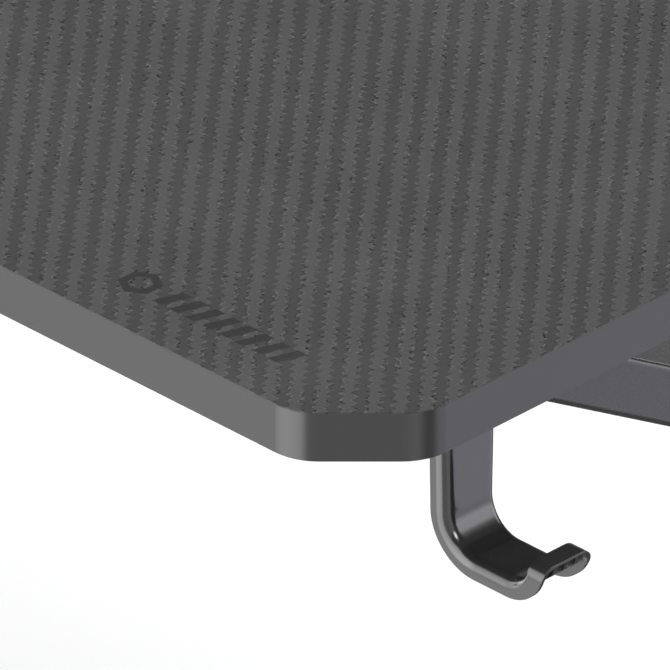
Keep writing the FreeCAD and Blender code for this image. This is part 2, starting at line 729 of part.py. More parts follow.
# ---- The whole desk ----
def build():
    """Every piece of the desk by node name."""
    parts = {}
    bolt_places = desktop_bolt_places()
    seam_middle = (FRONT_BEAM_BACK + REAR_BEAM_BACK) / 2
    right_plate, right_screws, right_places = seam_plate(SEAM_X, Y_FRONT + seam_middle, True)
    return_plate, return_screws, return_places = seam_plate(X_INNER - seam_middle, SEAM_Y, False)
    screw_places = right_places + return_places + head_plate_places() + hook_screw_places()
    seam_dowels = dowels()
    insert_depth = INSERT_L + INSERT_SPARE
    cuts = list(seam_dowels)
    cuts += [cylinder(INSERT_R, insert_depth, V(x, y, UNDERSIDE), UP) for x, y in bolt_places]
    cuts += screw_holes(screw_places, UNDERSIDE, UNDERSIDE + SCREW_L)
    parts.update(boards(Part.makeCompound(cuts)))
    parts["seam_dowels"] = Part.makeCompound(seam_dowels)
    parts["threaded_inserts"] = Part.makeCompound(threaded_inserts())
    parts["desktop_bolts"] = Part.makeCompound(desktop_bolts())
    parts["right_seam_plate"] = right_plate
    parts["return_seam_plate"] = return_plate
    parts["seam_plate_screws"] = Part.makeCompound(right_screws + return_screws)

    bolts = []
    slugs = []
    nuts = []
    members = {}
    for name, beam in beams().items():
        members[name] = beam.tube()
        parts[name + "_end_plates"] = Part.makeCompound(beam.plates())
        beam_bolts, beam_slugs, beam_nuts = beam.fixings()
        bolts += beam_bolts
        slugs += beam_slugs
        nuts += beam_nuts
    for name, shape in end_frame().items():
        members["right_" + name] = placed(shape, V(RIGHT_MID, Y_FRONT, 0), UP, 90)
        members["return_" + name] = placed(shape, V(X_INNER, RETURN_MID, 0), UP, 180)
    post = tube(POST_SIDE, POST_SIDE, POST_TOP - FOOT_GAP - POST_CAP_T)
    members["corner_post"] = placed(post, V(POST_X, POST_Y, FOOT_GAP + POST_CAP_T))
    slug = Part.makeCompound(slugs)
    for name, shape in members.items():
        parts[name] = shape if "caps" in name else shape.cut(slug)
    parts["frame_bolts"] = Part.makeCompound(bolts)
    parts["frame_rivet_nuts"] = Part.makeCompound(nuts)

    parts["corner_post_head_plate"] = head_plate()
    parts["head_plate_screws"] = Part.makeCompound(
        [wood_screw(V(x, y, POST_TOP), PLATE_T) for x, y in head_plate_places()])
    parts["corner_post_foot_plug"] = post_foot_plug()

    sleeves = []
    for name, (x, y) in foot_places().items():
        parts[name + "_foot_pad"] = placed(foot_pad(), V(x, y, 0))
        parts[name + "_foot_stud"] = placed(foot_stud(), V(x, y, 0))
        sleeves.append(ring(FOOT_NUT_R, STUD_R + RUNNING_FIT, FOOT_NUT_L, V(x, y, FOOT_GAP), UP))
    parts["foot_threaded_sleeves"] = Part.makeCompound(sleeves)

    parts["headphone_hook"] = headphone_hook()
    parts["hook_screws"] = Part.makeCompound(
        [wood_screw(V(x, y, UNDERSIDE - HOOK_FLANGE_T), HOOK_FLANGE_T) for x, y in hook_screw_places()])
    return parts


os.makedirs("parts", exist_ok=True)
for node, shape in build().items():
    shape.exportStep("parts/" + node + ".step")
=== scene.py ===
"""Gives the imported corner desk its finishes, weld beads, foot threads, a plain studio and a camera."""
import logging
import math
from dataclasses import dataclass, field
from enum import Enum
from typing import Callable, ClassVar

import bmesh
import bpy
from mathutils import Matrix, Vector


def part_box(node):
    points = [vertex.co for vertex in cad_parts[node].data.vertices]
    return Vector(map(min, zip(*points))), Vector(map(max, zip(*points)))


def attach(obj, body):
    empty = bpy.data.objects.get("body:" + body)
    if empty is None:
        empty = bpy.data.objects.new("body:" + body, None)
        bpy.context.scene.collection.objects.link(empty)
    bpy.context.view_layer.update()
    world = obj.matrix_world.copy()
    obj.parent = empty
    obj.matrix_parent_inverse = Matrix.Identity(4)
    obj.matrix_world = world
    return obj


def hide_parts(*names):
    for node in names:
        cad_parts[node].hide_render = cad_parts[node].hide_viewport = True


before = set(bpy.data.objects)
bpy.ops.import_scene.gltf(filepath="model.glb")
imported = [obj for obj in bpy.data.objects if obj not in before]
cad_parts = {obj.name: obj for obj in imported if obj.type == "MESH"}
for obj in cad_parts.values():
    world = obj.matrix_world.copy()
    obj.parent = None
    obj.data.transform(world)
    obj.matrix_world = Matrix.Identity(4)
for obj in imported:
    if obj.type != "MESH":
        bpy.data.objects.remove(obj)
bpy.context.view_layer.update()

logging.basicConfig(level=logging.INFO, format="%(name)s: %(message)s")
log = logging.getLogger("corner_desk")

Socket = bpy.types.NodeSocket
Colour = tuple[float, float, float]
Value = Socket | float | tuple
MM = 0.001
BEVEL_SAMPLES = 4
WORN_PATCH_SHARE = 0.7
ARM_SLOPE = math.radians(30.0)
ARM_SECTION = 0.020
BOARD_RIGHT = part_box("right_board_top_film")[1].x / MM
BOARD_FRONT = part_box("right_board_top_film")[0].y / MM
WEAVE_START = (BOARD_RIGHT - 50.778, BOARD_FRONT + 81.215)
MARK_CORNER = (BOARD_RIGHT - 130.0, BOARD_FRONT + 18.5)
CAMERA_TARGET = (BOARD_RIGHT * MM - 0.0555, BOARD_FRONT * MM + 0.0441, 0.750)


# ---------------------------------------------------------------- node helpers
class NodeSheet:
    """One node tree being laid out, with short calls for the steps that the finishes share."""

    def __init__(self, tree: bpy.types.NodeTree) -> None:
        """Starts on a tree.

        Args:
            tree: the material's or the group's node tree.
        """
        self.tree = tree

    def feed(self, socket: Socket, value: Value) -> None:
        """Links a socket to another, or sets its own value.

        Args:
            socket: the input to fill.
            value: an output to link, or a plain number, vector or colour.
        """
        if isinstance(value, Socket):
            self.tree.links.new(value, socket)
        else:
            socket.default_value = value

    def add(self, kind: str, inputs: dict[str | int, Value] | None = None,
            **settings: object) -> bpy.types.Node:
        """Adds a node.

        Args:
            kind: the node's type without its ShaderNode prefix.
            inputs: values or links by input name or number.
            **settings: the node's own settings.

        Returns:
            The new node.
        """
        node = self.tree.nodes.new("ShaderNode" + kind)
        for name, setting in settings.items():
            setattr(node, name, setting)
        for name, value in (inputs or {}).items():
            self.feed(node.inputs[name], value)
        return node

    def math(self, operation: str, *values: Value) -> Socket:
        """One step of arithmetic.

        Args:
            operation: a Math node's operation.
            *values: its inputs in order.

        Returns:
            The result.
        """
        return self.add("Math", dict(enumerate(values)), operation=operation).outputs[0]

    def vector(self, operation: str, *values: Value) -> Socket:
        """One step of vector arithmetic.

        Args:
            operation: a Vector Math node's operation.
            *values: its inputs in order.

        Returns:
            The vector, or the number for a product or length.
        """
        node = self.add("VectorMath", dict(enumerate(values)), operation=operation)
        return node.outputs[1 if operation in ("DOT_PRODUCT", "LENGTH") else 0]

    def mix(self, factor: Value, low: Value, high: Value, blend: str = "MIX") -> Socket:
        """Mixes two colours.

        Args:
            factor: how much of the second.
            low: the first colour.
            high: the second colour.
            blend: the blend mode.

        Returns:
            The mixed colour.
        """
        low, high = (c if isinstance(c, Socket) else (*c[:3], 1.0) for c in (low, high))
        node = self.add("Mix", {0: factor, 6: low, 7: high}, data_type="RGBA", blend_type=blend)
        return node.outputs[2]

    def spread(self, value: Value, start: float, end: float, low: float = 0.0, high: float = 1.0) -> Socket:
        """Maps a range softly onto another, and clamps it.

        Args:
            value: what to map.
            start: the input that gives low.
            end: the input that gives high.
            low: the result at start.
            high: the result at end.

        Returns:
            The mapped value.
        """
        inputs = {0: value, 1: start, 2: end, 3: low, 4: high}
        return self.add("MapRange", inputs, interpolation_type="SMOOTHSTEP").outputs[0]

    def shade(self, colour: Value, grey: Socket, blue: float = 1.0) -> Socket:
        """Multiplies a colour by a grey.

        Args:
            colour: the colour.
            grey: the grey, 1 for no change.
            blue: how much more of its blue is kept than of its red and green.

        Returns:
            The shaded colour.
        """
        last = grey if blue == 1.0 else self.math("MULTIPLY", grey, blue)
        tint = self.add("CombineColor", {0: grey, 1: grey, 2: last}).outputs[0]
        return self.mix(1.0, colour, tint, "MULTIPLY")

    def noise(self, place: Socket, scale: float, detail: float = 2.0,
              stretch: tuple[float, float, float] = (1, 1, 1)) -> Socket:
        """Smooth random values, about 0.5 on average.

        Args:
            place: the coordinates.
            scale: lumps per unit.
            detail: how many finer layers.
            stretch: a factor for each direction.

        Returns:
            The noise.
        """
        if stretch != (1, 1, 1):
            place = self.vector("MULTIPLY", place, stretch)
        return self.add("TexNoise", {"Vector": place, "Scale": scale, "Detail": detail}).outputs[0]

    def place_mm(self) -> Socket:
        """Object coordinates in millimetres."""
        return self.vector("MULTIPLY", self.add("TexCoord").outputs["Object"], (1 / MM, 1 / MM, 1 / MM))

    def xyz(self, place: Socket) -> tuple[Socket, Socket, Socket]:
        """The three parts of a vector."""
        parts = self.add("SeparateXYZ", {0: place}).outputs
        return parts[0], parts[1], parts[2]

    def rise(self, value: Value, offset: Value, gain: Value) -> Socket:
        """A value made offset + gain * value.

        Args:
            value: what to scale.
            offset: what is added to it.
            gain: what it is multiplied by.

        Returns:
            The sum.
        """
        return self.math("MULTIPLY_ADD", value, gain, offset)


# ---------------------------------------------------------------- effects that several finishes use
class Effect:
    """A shader node group, built once and placed in each material with its own values."""

    name: ClassVar[str] = ""
    takes: ClassVar[dict[str, float]] = {}
    gives: ClassVar[tuple[str, ...]] = ()

    @classmethod
    def lay_out(cls, sheet: NodeSheet, place: Socket, given: dict[str, Socket]) -> dict[str, Socket]:
        """Lays out the group's inside.

        Args:
            sheet: the group's own sheet.
            place: coordinates in millimetres.
            given: the group's other inputs by name.

        Returns:
            What each output is linked to.
        """
        raise NotImplementedError

    @classmethod
    def group(cls) -> bpy.types.NodeTree:
        """The group's tree, made the first time that it is asked for."""
        tree = bpy.data.node_groups.get(cls.name)
        if tree is not None:
            return tree
        tree = bpy.data.node_groups.new(cls.name, "ShaderNodeTree")
        tree.interface.new_socket("Place", in_out="INPUT", socket_type="NodeSocketVector")
        for title, value in cls.takes.items():
            socket = tree.interface.new_socket(title, in_out="INPUT", socket_type="NodeSocketFloat")
            socket.default_value = value
        for title in cls.gives:
            tree.interface.new_socket(title, in_out="OUTPUT", socket_type="NodeSocketFloat")
        start, end = tree.nodes.new("NodeGroupInput"), tree.nodes.new("NodeGroupOutput")
        given = {title: start.outputs[title] for title in cls.takes}
        for title, socket in cls.lay_out(NodeSheet(tree), start.outputs["Place"], given).items():
            tree.links.new(socket, end.inputs[title])
        return tree

    @classmethod
    def on(cls, sheet: NodeSheet, place: Socket, **values: float) -> dict[str, Socket]:
        """Places the group in a material.

        Args:
            sheet: the material's sheet.
            place: coordinates in millimetres.
            **values: the group's inputs, with _ for a space.

        Returns:
            Its outputs by name.
        """
        node = sheet.add("Group", node_tree=cls.group())
        sheet.feed(node.inputs["Place"], place)
        for title, value in values.items():
            sheet.feed(node.inputs[title.replace("_", " ").capitalize()], value)
        return {title: node.outputs[title] for title in cls.gives}


class EdgeWear(Effect):
    """Finds the edges of a piece, broken up into rubbed patches."""

    name = "Edge wear"
    takes = {"Width": 0.0006, "Patch": 0.12}
    gives = ("Edge", "Worn")

    @classmethod
    def lay_out(cls, sheet: NodeSheet, place: Socket, given: dict[str, Socket]) -> dict[str, Socket]:
        """Compares the true normal with one rounded over the edge's width."""
        rounded = sheet.add("Bevel", {"Radius": given["Width"]}, samples=BEVEL_SAMPLES).outputs[0]
        straight = sheet.add("NewGeometry").outputs["True Normal"]
        edge = sheet.spread(sheet.vector("DOT_PRODUCT", rounded, straight), 0.995, 0.86)
        patch = sheet.add("TexNoise", {"Vector": place, "Scale": given["Patch"], "Detail": 5.0}).outputs[0]
        worn = sheet.math("MULTIPLY", edge, sheet.spread(patch, 0.46, 0.66))
        return {"Edge": edge, "Worn": worn}


class OrangePeel(Effect):
    """The shallow lumps and the finer grain of a sprayed or moulded surface."""

    name = "Orange peel"
    takes = {"Lump": 0.8, "Grain": 5.0}
    gives = ("Height", "Speck")

    @classmethod
    def lay_out(cls, sheet: NodeSheet, place: Socket, given: dict[str, Socket]) -> dict[str, Socket]:
        """Adds a fine noise to a broad one."""
        lump = sheet.add("TexNoise", {"Vector": place, "Scale": given["Lump"], "Detail": 1.0}).outputs[0]
        grain = sheet.add("TexNoise", {"Vector": place, "Scale": given["Grain"], "Detail": 2.0}).outputs[0]
        return {"Height": sheet.rise(grain, lump, 0.35), "Speck": sheet.spread(grain, 0.6, 0.74)}


class SettledDust(Effect):
    """A thin, uneven veil of dust on faces that look up."""

    name = "Settled dust"
    takes = {"Amount": 0.3}
    gives = ("Dust",)

    @classmethod
    def lay_out(cls, sheet: NodeSheet, place: Socket, given: dict[str, Socket]) -> dict[str, Socket]:
        """Takes cloudy noise where the normal points up."""
        up = sheet.xyz(sheet.add("NewGeometry").outputs["True Normal"])[2]
        cloud = sheet.spread(sheet.noise(place, 0.02, 6.0), 0.35, 0.75)
        speckle = sheet.noise(place, 1.7, 2.0)
        veil = sheet.math("MULTIPLY", cloud, sheet.spread(up, 0.2, 0.95))
        return {"Dust": sheet.math("MULTIPLY", sheet.math("MULTIPLY", veil, speckle), given["Amount"])}


class HairScratches(Effect):
    """Fine scratches in two crossing directions."""

    name = "Hair scratches"
    takes = {"Thin": 1.6}
    gives = ("Scratch",)

    @classmethod
    def lay_out(cls, sheet: NodeSheet, place: Socket, given: dict[str, Socket]) -> dict[str, Socket]:
        """Stretches noise along two lines that lean against each other."""
        marks = []
        for turn in (0.5, 2.2):
            bent = sheet.add("VectorRotate", {"Vector": place, "Angle": turn},
                             rotation_type="Z_AXIS").outputs[0]
            drawn = sheet.vector("MULTIPLY", bent, (0.03, 1.0, 0.4))
            line = sheet.add("TexNoise", {"Vector": drawn, "Scale": given["Thin"], "Detail": 3.0}).outputs[0]
            marks.append(sheet.spread(line, 0.66, 0.74))
        return {"Scratch": sheet.math("MAXIMUM", marks[0], marks[1])}


class TwillTows(Effect):
    """A two over two twill of flat tows, in the plane of the board."""

    name = "Twill tows"
    takes = {"Pitch x": 3.0, "Pitch y": 3.0, "Start x": 0.0, "Start y": 0.0}
    gives = ("Weft", "Border", "Height")

    @classmethod
    def lay_out(cls, sheet: NodeSheet, place: Socket, given: dict[str, Socket]) -> dict[str, Socket]:
        """Numbers the crossings, and tells which tow lies on top at each."""
        do = sheet.math
        x, y, _ = sheet.xyz(place)
        a = do("DIVIDE", do("SUBTRACT", x, given["Start x"]), given["Pitch x"])
        b = do("DIVIDE", do("SUBTRACT", y, given["Start y"]), given["Pitch y"])
        step = do("FLOORED_MODULO", do("ADD", do("FLOOR", a), do("FLOOR", b)), 4.0)
        weft = do("LESS_THAN", step, 1.5)
        second = do("FLOORED_MODULO", step, 2.0)
        across, along = do("FRACT", a), do("FRACT", b)
        near = do("MINIMUM", across, along)
        far = do("MINIMUM", do("SUBTRACT", 1.0, across), do("SUBTRACT", 1.0, along))
        gap = do("ADD", do("MULTIPLY", near, do("SUBTRACT", 1.0, second)), do("MULTIPLY", far, second))
        border = sheet.spread(gap, 0.34, 0.02)
        side_a = do("MULTIPLY", across, do("SUBTRACT", 1.0, across))
        side_b = do("MULTIPLY", along, do("SUBTRACT", 1.0, along))
        crown = do("ADD", do("MULTIPLY", side_b, weft), do("MULTIPLY", side_a, do("SUBTRACT", 1.0, weft)))
        run = do("MULTIPLY", do("ADD", second, do("ADD", do("MULTIPLY", across, weft),
                 do("MULTIPLY", along, do("SUBTRACT", 1.0, weft)))), 0.5)
        arch = do("MULTIPLY", do("MULTIPLY", run, do("SUBTRACT", 1.0, run)), 4.0)
        height = do("MULTIPLY", do("POWER", do("MULTIPLY", crown, 4.0), 0.4), do("POWER", arch, 0.5))
        return {"Weft": weft, "Border": border, "Height": height}


# ---------------------------------------------------------------- finishes
@dataclass(frozen=True)
class Finish:
    """What every finish has: a slot name, a base colour and a few shader values."""

    slot: str = "frame_paint"
    colour: Colour = (0.1, 0.1, 0.1)
    rough: float = 0.5
    specular: float = 0.5
    metallic: float = 0.0
    coat: float = 0.0
    coat_rough: float = 0.1

    def material(self) -> bpy.types.Material:
        """The finish as a material, made the first time that it is asked for.

        Returns:
            The material, named after the finish's slot.
        """
        name = "looks_" + self.slot
        found = bpy.data.materials.get(name)
        if found is not None:
            return found
        made = bpy.data.materials.new(name)
        made.use_nodes = True
        made.node_tree.nodes.clear()
        sheet = NodeSheet(made.node_tree)
        shader = sheet.add("BsdfPrincipled", {
            "Base Color": (*self.colour, 1.0), "Roughness": self.rough, "Metallic": self.metallic,
            "Specular IOR Level": self.specular, "Coat Weight": self.coat, "Coat Roughness": self.coat_rough})
        end = sheet.add("OutputMaterial")
        sheet.feed(end.inputs["Surface"], shader.outputs[0])
        self.dress(sheet, shader, sheet.place_mm())
        return made

    def dress(self, sheet: NodeSheet, shader: bpy.types.Node, place: Socket) -> None:
        """Lays out what varies over the surface.

        Args:
            sheet: the material's sheet.
            shader: its Principled shader.
            place: coordinates in millimetres.
        """
        raise NotImplementedError

    def bump(self, sheet: NodeSheet, shader: bpy.types.Node, height: Socket, depth: float,
             soft_edge: float = 0.0) -> None:
        """Feeds the shader's normal from a height.

        Args:
            sheet: the material's sheet.
            shader: its Principled shader.
            height: the height, about 0 to 1.
            depth: what a height of 1 is in metres.
            soft_edge: the radius in metres by which sharp edges look rounded.
        """
        relief = sheet.add("Bump", {"Height": height, "Distance": depth, "Strength": 1.0})
        if soft_edge:
            rounded = sheet.add("Bevel", {"Radius": soft_edge}, samples=BEVEL_SAMPLES)
            sheet.feed(relief.inputs["Normal"], rounded.outputs[0])
        sheet.feed(shader.inputs["Normal"], relief.outputs[0])

    def wear(self, sheet: NodeSheet, place: Socket, colour: Socket, rubbed: Colour, amount: float,
             width: float = 0.0006) -> tuple[Socket, Socket]:
        """Lightens a colour along the edges.

        Args:
            sheet: the material's sheet.
            place: coordinates in millimetres.
            colour: the colour so far.
            rubbed: the colour of a rubbed edge.
            amount: how far a rubbed edge goes to that colour.
            width: the edge's width in metres.

        Returns:
            The new colour, and the rubbed patches as a mask.
        """
        edge = EdgeWear.on(sheet, place, width=width)
        share = sheet.math("ADD", sheet.math("MULTIPLY", edge["Worn"], amount * WORN_PATCH_SHARE),
                           sheet.math("MULTIPLY", edge["Edge"], amount * (1 - WORN_PATCH_SHARE)))
        return sheet.mix(share, colour, rubbed), edge["Worn"]


@dataclass(frozen=True)
class PrintedMark:
    """A generic mark printed near the board's front edge: a ring with six sides and a row of slanted bars."""

    left: float = MARK_CORNER[0]
    front: float = MARK_CORNER[1]
    ring_reach: float = 6.6
    ring_hole: float = 3.7
    bars_from: float = 17.5
    bar_pitch: float = 7.45
    bar_wide: float = 4.3
    bar_tall: float = 10.5
    bar_count: int = 8
    lean: float = 0.34

    def mask(self, sheet: NodeSheet, place: Socket) -> Socket:
        """Where the mark is printed.

        Args:
            sheet: the material's sheet.
            place: coordinates in millimetres.

        Returns:
            1 on the print and 0 elsewhere.
        """
        do = sheet.math
        x, y, _ = sheet.xyz(place)
        a, b = do("SUBTRACT", x, self.left), do("SUBTRACT", y, self.front)
        side = do("ABSOLUTE", do("SUBTRACT", a, self.ring_reach + 0.4))
        upright = do("ABSOLUTE", do("SUBTRACT", b, self.bar_tall / 2))
        slope = sheet.rise(upright, do("MULTIPLY", side, 0.5), 0.866)
        reach = do("MAXIMUM", slope, side)
        ring = do("MULTIPLY", do("LESS_THAN", reach, self.ring_reach),
                  do("GREATER_THAN", reach, self.ring_hole))
        along = do("SUBTRACT", do("SUBTRACT", a, do("MULTIPLY", b, self.lean)), self.bars_from)
        bar = do("LESS_THAN", do("FLOORED_MODULO", along, self.bar_pitch), self.bar_wide)
        for value, low, high in ((along, 0.0, self.bar_pitch * self.bar_count), (b, 0.0, self.bar_tall)):
            within = do("MULTIPLY", do("GREATER_THAN", value, low), do("LESS_THAN", value, high))
            bar = do("MULTIPLY", bar, within)
        return do("MAXIMUM", ring, bar)


@dataclass(frozen=True)
class TwillFilm(Finish):
    """Dark film printed and embossed as a twill of carbon tows, with a generic mark printed on it."""

    warp: Colour = (0.0321, 0.0321, 0.0324)
    weft: Colour = (0.0461, 0.0461, 0.0464)
    print_colour: Colour = (0.0165, 0.0165, 0.0167)
    pitch: tuple[float, float] = (2.79095, 3.12174)
    start: tuple[float, float] = WEAVE_START
    mark: PrintedMark = PrintedMark()

    def dress(self, sheet: NodeSheet, shader: bpy.types.Node, place: Socket) -> None:
        """Weaves the tows, breaks them into fibres, paints glints and shade at the tow ends, and prints the
        mark on them.
        """
        do = sheet.math
        tows = TwillTows.on(sheet, place, pitch_x=self.pitch[0], pitch_y=self.pitch[1],
                            start_x=self.start[0], start_y=self.start[1])
        colour = sheet.mix(tows["Weft"], self.warp, self.weft)
        fibre_x = sheet.noise(place, 1.0, 3.0, (0.12, 7.0, 1.0))
        fibre_y = sheet.noise(place, 1.0, 3.0, (7.0, 0.12, 1.0))
        weft_share = do("MULTIPLY", fibre_x, tows["Weft"])
        fibre = do("MULTIPLY_ADD", fibre_y, do("SUBTRACT", 1.0, tows["Weft"]), weft_share)
        patch = sheet.spread(sheet.noise(place, 0.11, 3.0), 0.36, 0.6)
        # Painted glints and painted shade: light and dark flecks along the tow ends, standing in for the
        # weave's highlights.
        glint_and_shade_fleck = do("SUBTRACT", sheet.noise(place, 1.35, 2.0, (1.0, 0.75, 1.0)), 0.5)
        glint_and_shade_fleck = do("MULTIPLY", do("MULTIPLY", glint_and_shade_fleck, tows["Border"]), sheet.rise(patch, 1.6, 4.6))
        # Painted highlight and shade: the weft's tow ends made lighter and the warp's darker.
        lift = do("MULTIPLY", tows["Border"], do("SUBTRACT", tows["Weft"], 0.45))
        shade = do("ADD", sheet.rise(fibre, 0.93, 0.14), sheet.rise(lift, glint_and_shade_fleck, 0.22))
        tone = sheet.rise(sheet.noise(place, 0.012, 3.0), 0.975, 0.05)
        shaded = sheet.shade(colour, do("MULTIPLY", shade, tone))
        shaded = sheet.mix(do("MULTIPLY", self.mark.mask(sheet, place), 0.96), shaded, self.print_colour)
        worn, _ = self.wear(sheet, place, shaded, (0.16, 0.16, 0.16), 0.12, 0.0003)
        dust = SettledDust.on(sheet, place, amount=0.05)["Dust"]
        sheet.feed(shader.inputs["Base Color"], sheet.mix(dust, worn, (0.30, 0.29, 0.28)))
        gloss = do("ADD", do("MULTIPLY", glint_and_shade_fleck, -0.10), sheet.rise(fibre, self.rough - 0.04, 0.08))
        sheet.feed(shader.inputs["Roughness"], sheet.rise(dust, gloss, 0.6))
        height = sheet.rise(fibre, tows["Height"], 0.12)
        self.bump(sheet, shader, height, 0.00006)


@dataclass(frozen=True)
class BandStrip(Finish):
    """The smooth strip ironed round the boards: even grey with faint calender lines and a painted shadow line
    under the film.
    """

    film_z: float = 749.5

    def dress(self, sheet: NodeSheet, shader: bpy.types.Node, place: Socket) -> None:
        """Adds the lines along the strip, the fine grain, a painted shadow line under the film, and rubbed
        edges.
        """
        do = sheet.math
        peel = OrangePeel.on(sheet, place, lump=0.35, grain=6.0)
        lines = sheet.noise(place, 1.0, 4.0, (0.01, 0.01, 2.6))
        cloud = sheet.noise(place, 0.03, 3.0)
        grey = sheet.rise(cloud, sheet.rise(lines, 0.965, 0.04), 0.03)
        grey = sheet.rise(peel["Speck"], grey, 0.025)
        even = sheet.shade(self.colour, grey, 1.003)
        # Painted shadow: a faint dark line along the band's top, just under the film's edge.
        height_mm = sheet.xyz(place)[2]
        painted_shadow_line = sheet.spread(do("ABSOLUTE", do("SUBTRACT", height_mm, self.film_z - 0.05)), 0.10, 0.0)
        lined = sheet.mix(do("MULTIPLY", painted_shadow_line, 0.10), even, (0.02, 0.02, 0.021))
        worn, rubbed = self.wear(sheet, place, lined, (0.10, 0.10, 0.10), 0.12, 0.0004)
        sheet.feed(shader.inputs["Base Color"], worn)
        rough = sheet.rise(rubbed, sheet.rise(lines, self.rough - 0.03, 0.06), 0.12)
        sheet.feed(shader.inputs["Roughness"], rough)
        self.bump(sheet, shader, peel["Height"], 0.000006)


@dataclass(frozen=True)
class PowderCoat(Finish):
    """Baked powder on welded tube: orange peel, sparse specks and edges where the coat is thin."""

    def dress(self, sheet: NodeSheet, shader: bpy.types.Node, place: Socket) -> None:
        """Adds the peel, its specks, rubbed edges and dust."""
        peel = OrangePeel.on(sheet, place, lump=0.75, grain=4.2)
        cloud = sheet.noise(place, 0.008, 4.0)
        grey = sheet.rise(peel["Speck"], sheet.rise(cloud, 0.93, 0.12), 0.12)
        even = sheet.shade(self.colour, grey)
        worn, rubbed = self.wear(sheet, place, even, (0.19, 0.19, 0.20), 0.30, 0.0007)
        dust = SettledDust.on(sheet, place, amount=0.06)["Dust"]
        sheet.feed(shader.inputs["Base Color"], sheet.mix(dust, worn, (0.26, 0.26, 0.26)))
        rough = sheet.rise(rubbed, sheet.rise(peel["Height"], self.rough - 0.05, 0.08), -0.10)
        sheet.feed(shader.inputs["Roughness"], sheet.rise(dust, rough, 0.5))
        self.bump(sheet, shader, peel["Height"], 0.000018)


@dataclass(frozen=True)
class GlossMoulding(Finish):
    """Hard gloss plastic with slow flow waves, slightly soft edges and light handling marks."""

    def dress(self, sheet: NodeSheet, shader: bpy.types.Node, place: Socket) -> None:
        """Adds waves to the surface, and fine marks to its gloss."""
        do = sheet.math
        flow = sheet.noise(place, 0.05, 3.0, (1.0, 0.4, 1.0))
        grain = sheet.noise(place, 8.0, 2.0)
        grey = sheet.rise(grain, sheet.rise(flow, 0.94, 0.08), 0.06)
        even = sheet.shade(self.colour, grey, 1.02)
        worn, rubbed = self.wear(sheet, place, even, (0.16, 0.16, 0.165), 0.25, 0.0004)
        scratch = HairScratches.on(sheet, place, thin=1.2)["Scratch"]
        dust = SettledDust.on(sheet, place, amount=0.02)["Dust"]
        sheet.feed(shader.inputs["Base Color"], sheet.mix(dust, worn, (0.30, 0.30, 0.30)))
        rough = sheet.rise(scratch, sheet.rise(flow, self.rough - 0.03, 0.06), 0.10)
        rough = sheet.rise(rubbed, rough, 0.12)
        sheet.feed(shader.inputs["Roughness"], sheet.rise(dust, rough, 0.8))
        height = sheet.rise(grain, do("MULTIPLY", flow, 1.5), 0.10)
        self.bump(sheet, shader, height, 0.00002, soft_edge=0.00035)


@dataclass(frozen=True)
class GrainedPlastic(Finish):
    """Black plastic with an etched mould grain."""

    def dress(self, sheet: NodeSheet, shader: bpy.types.Node, place: Socket) -> None:
        """Adds the etched cells with painted shade in their hollows, dust on faces that look up, and polished
        edges.
        """
        cells = sheet.add("TexVoronoi", {"Vector": place, "Scale": 2.2},
                          feature="SMOOTH_F1").outputs["Distance"]
        fine = sheet.noise(place, 6.0, 3.0)
        relief = sheet.rise(fine, cells, 0.4)
        # Painted shade: the colour darkens where the etched relief is low, in the cells' hollows.
        grey = sheet.rise(relief, 0.80, 0.30)
        even = sheet.shade(self.colour, grey)
        worn, rubbed = self.wear(sheet, place, even, (0.12, 0.12, 0.12), 0.45, 0.0006)
        dust = SettledDust.on(sheet, place, amount=0.4)["Dust"]
        sheet.feed(shader.inputs["Base Color"], sheet.mix(dust, worn, (0.25, 0.24, 0.23)))
        rough = sheet.rise(rubbed, sheet.rise(fine, self.rough - 0.06, 0.12), -0.18)
        sheet.feed(shader.inputs["Roughness"], rough)
        self.bump(sheet, shader, relief, 0.00006)


@dataclass(frozen=True)
class ZincPlate(Finish):
    """Bright zinc on steel: cool and warm clouds, turning lines and dull spots."""

    def dress(self, sheet: NodeSheet, shader: bpy.types.Node, place: Socket) -> None:
        """Adds the clouds, the lines left by turning, and dull spots."""
        do = sheet.math
        cloud = sheet.spread(sheet.noise(place, 0.25, 4.0), 0.35, 0.65)
        colour = sheet.mix(cloud, self.colour, (0.66, 0.63, 0.55))
        spot = sheet.spread(sheet.noise(place, 0.9, 3.0), 0.58, 0.72)
        colour = sheet.mix(do("MULTIPLY", spot, 0.35), colour, (0.34, 0.34, 0.35))
        worn, rubbed = self.wear(sheet, place, colour, (0.78, 0.78, 0.77), 0.5, 0.0003)
        turned = sheet.noise(place, 1.0, 3.0, (0.4, 0.4, 9.0))
        sheet.feed(shader.inputs["Base Color"], worn)
        rough = sheet.rise(spot, sheet.rise(turned, self.rough - 0.06, 0.12), 0.22)
        sheet.feed(shader.inputs["Roughness"], sheet.rise(rubbed, rough, -0.08))
        sheet.feed(shader.inputs["Metallic"], sheet.rise(spot, self.metallic, -0.3))
        self.bump(sheet, shader, turned, 0.00001)


@dataclass(frozen=True)
class BlackOxide(Finish):
    """Oiled black steel, browned in places and bright where a key has rubbed it."""

    def dress(self, sheet: NodeSheet, shader: bpy.types.Node, place: Socket) -> None:
        """Adds the browning, the oil and rubbed corners."""
        do = sheet.math
        cloud = sheet.spread(sheet.noise(place, 0.6, 4.0), 0.4, 0.7)
        colour = sheet.mix(do("MULTIPLY", cloud, 0.5), self.colour, (0.055, 0.042, 0.034))
        worn, rubbed = self.wear(sheet, place, colour, (0.33, 0.32, 0.31), 0.55, 0.0003)
        grain = sheet.noise(place, 5.0, 3.0)
        sheet.feed(shader.inputs["Base Color"], worn)
        rough = sheet.rise(cloud, sheet.rise(grain, self.rough - 0.08, 0.16), 0.10)
        sheet.feed(shader.inputs["Roughness"], rough)
        sheet.feed(shader.inputs["Metallic"], sheet.rise(rubbed, self.metallic, 0.3))
        self.bump(sheet, shader, grain, 0.00001)


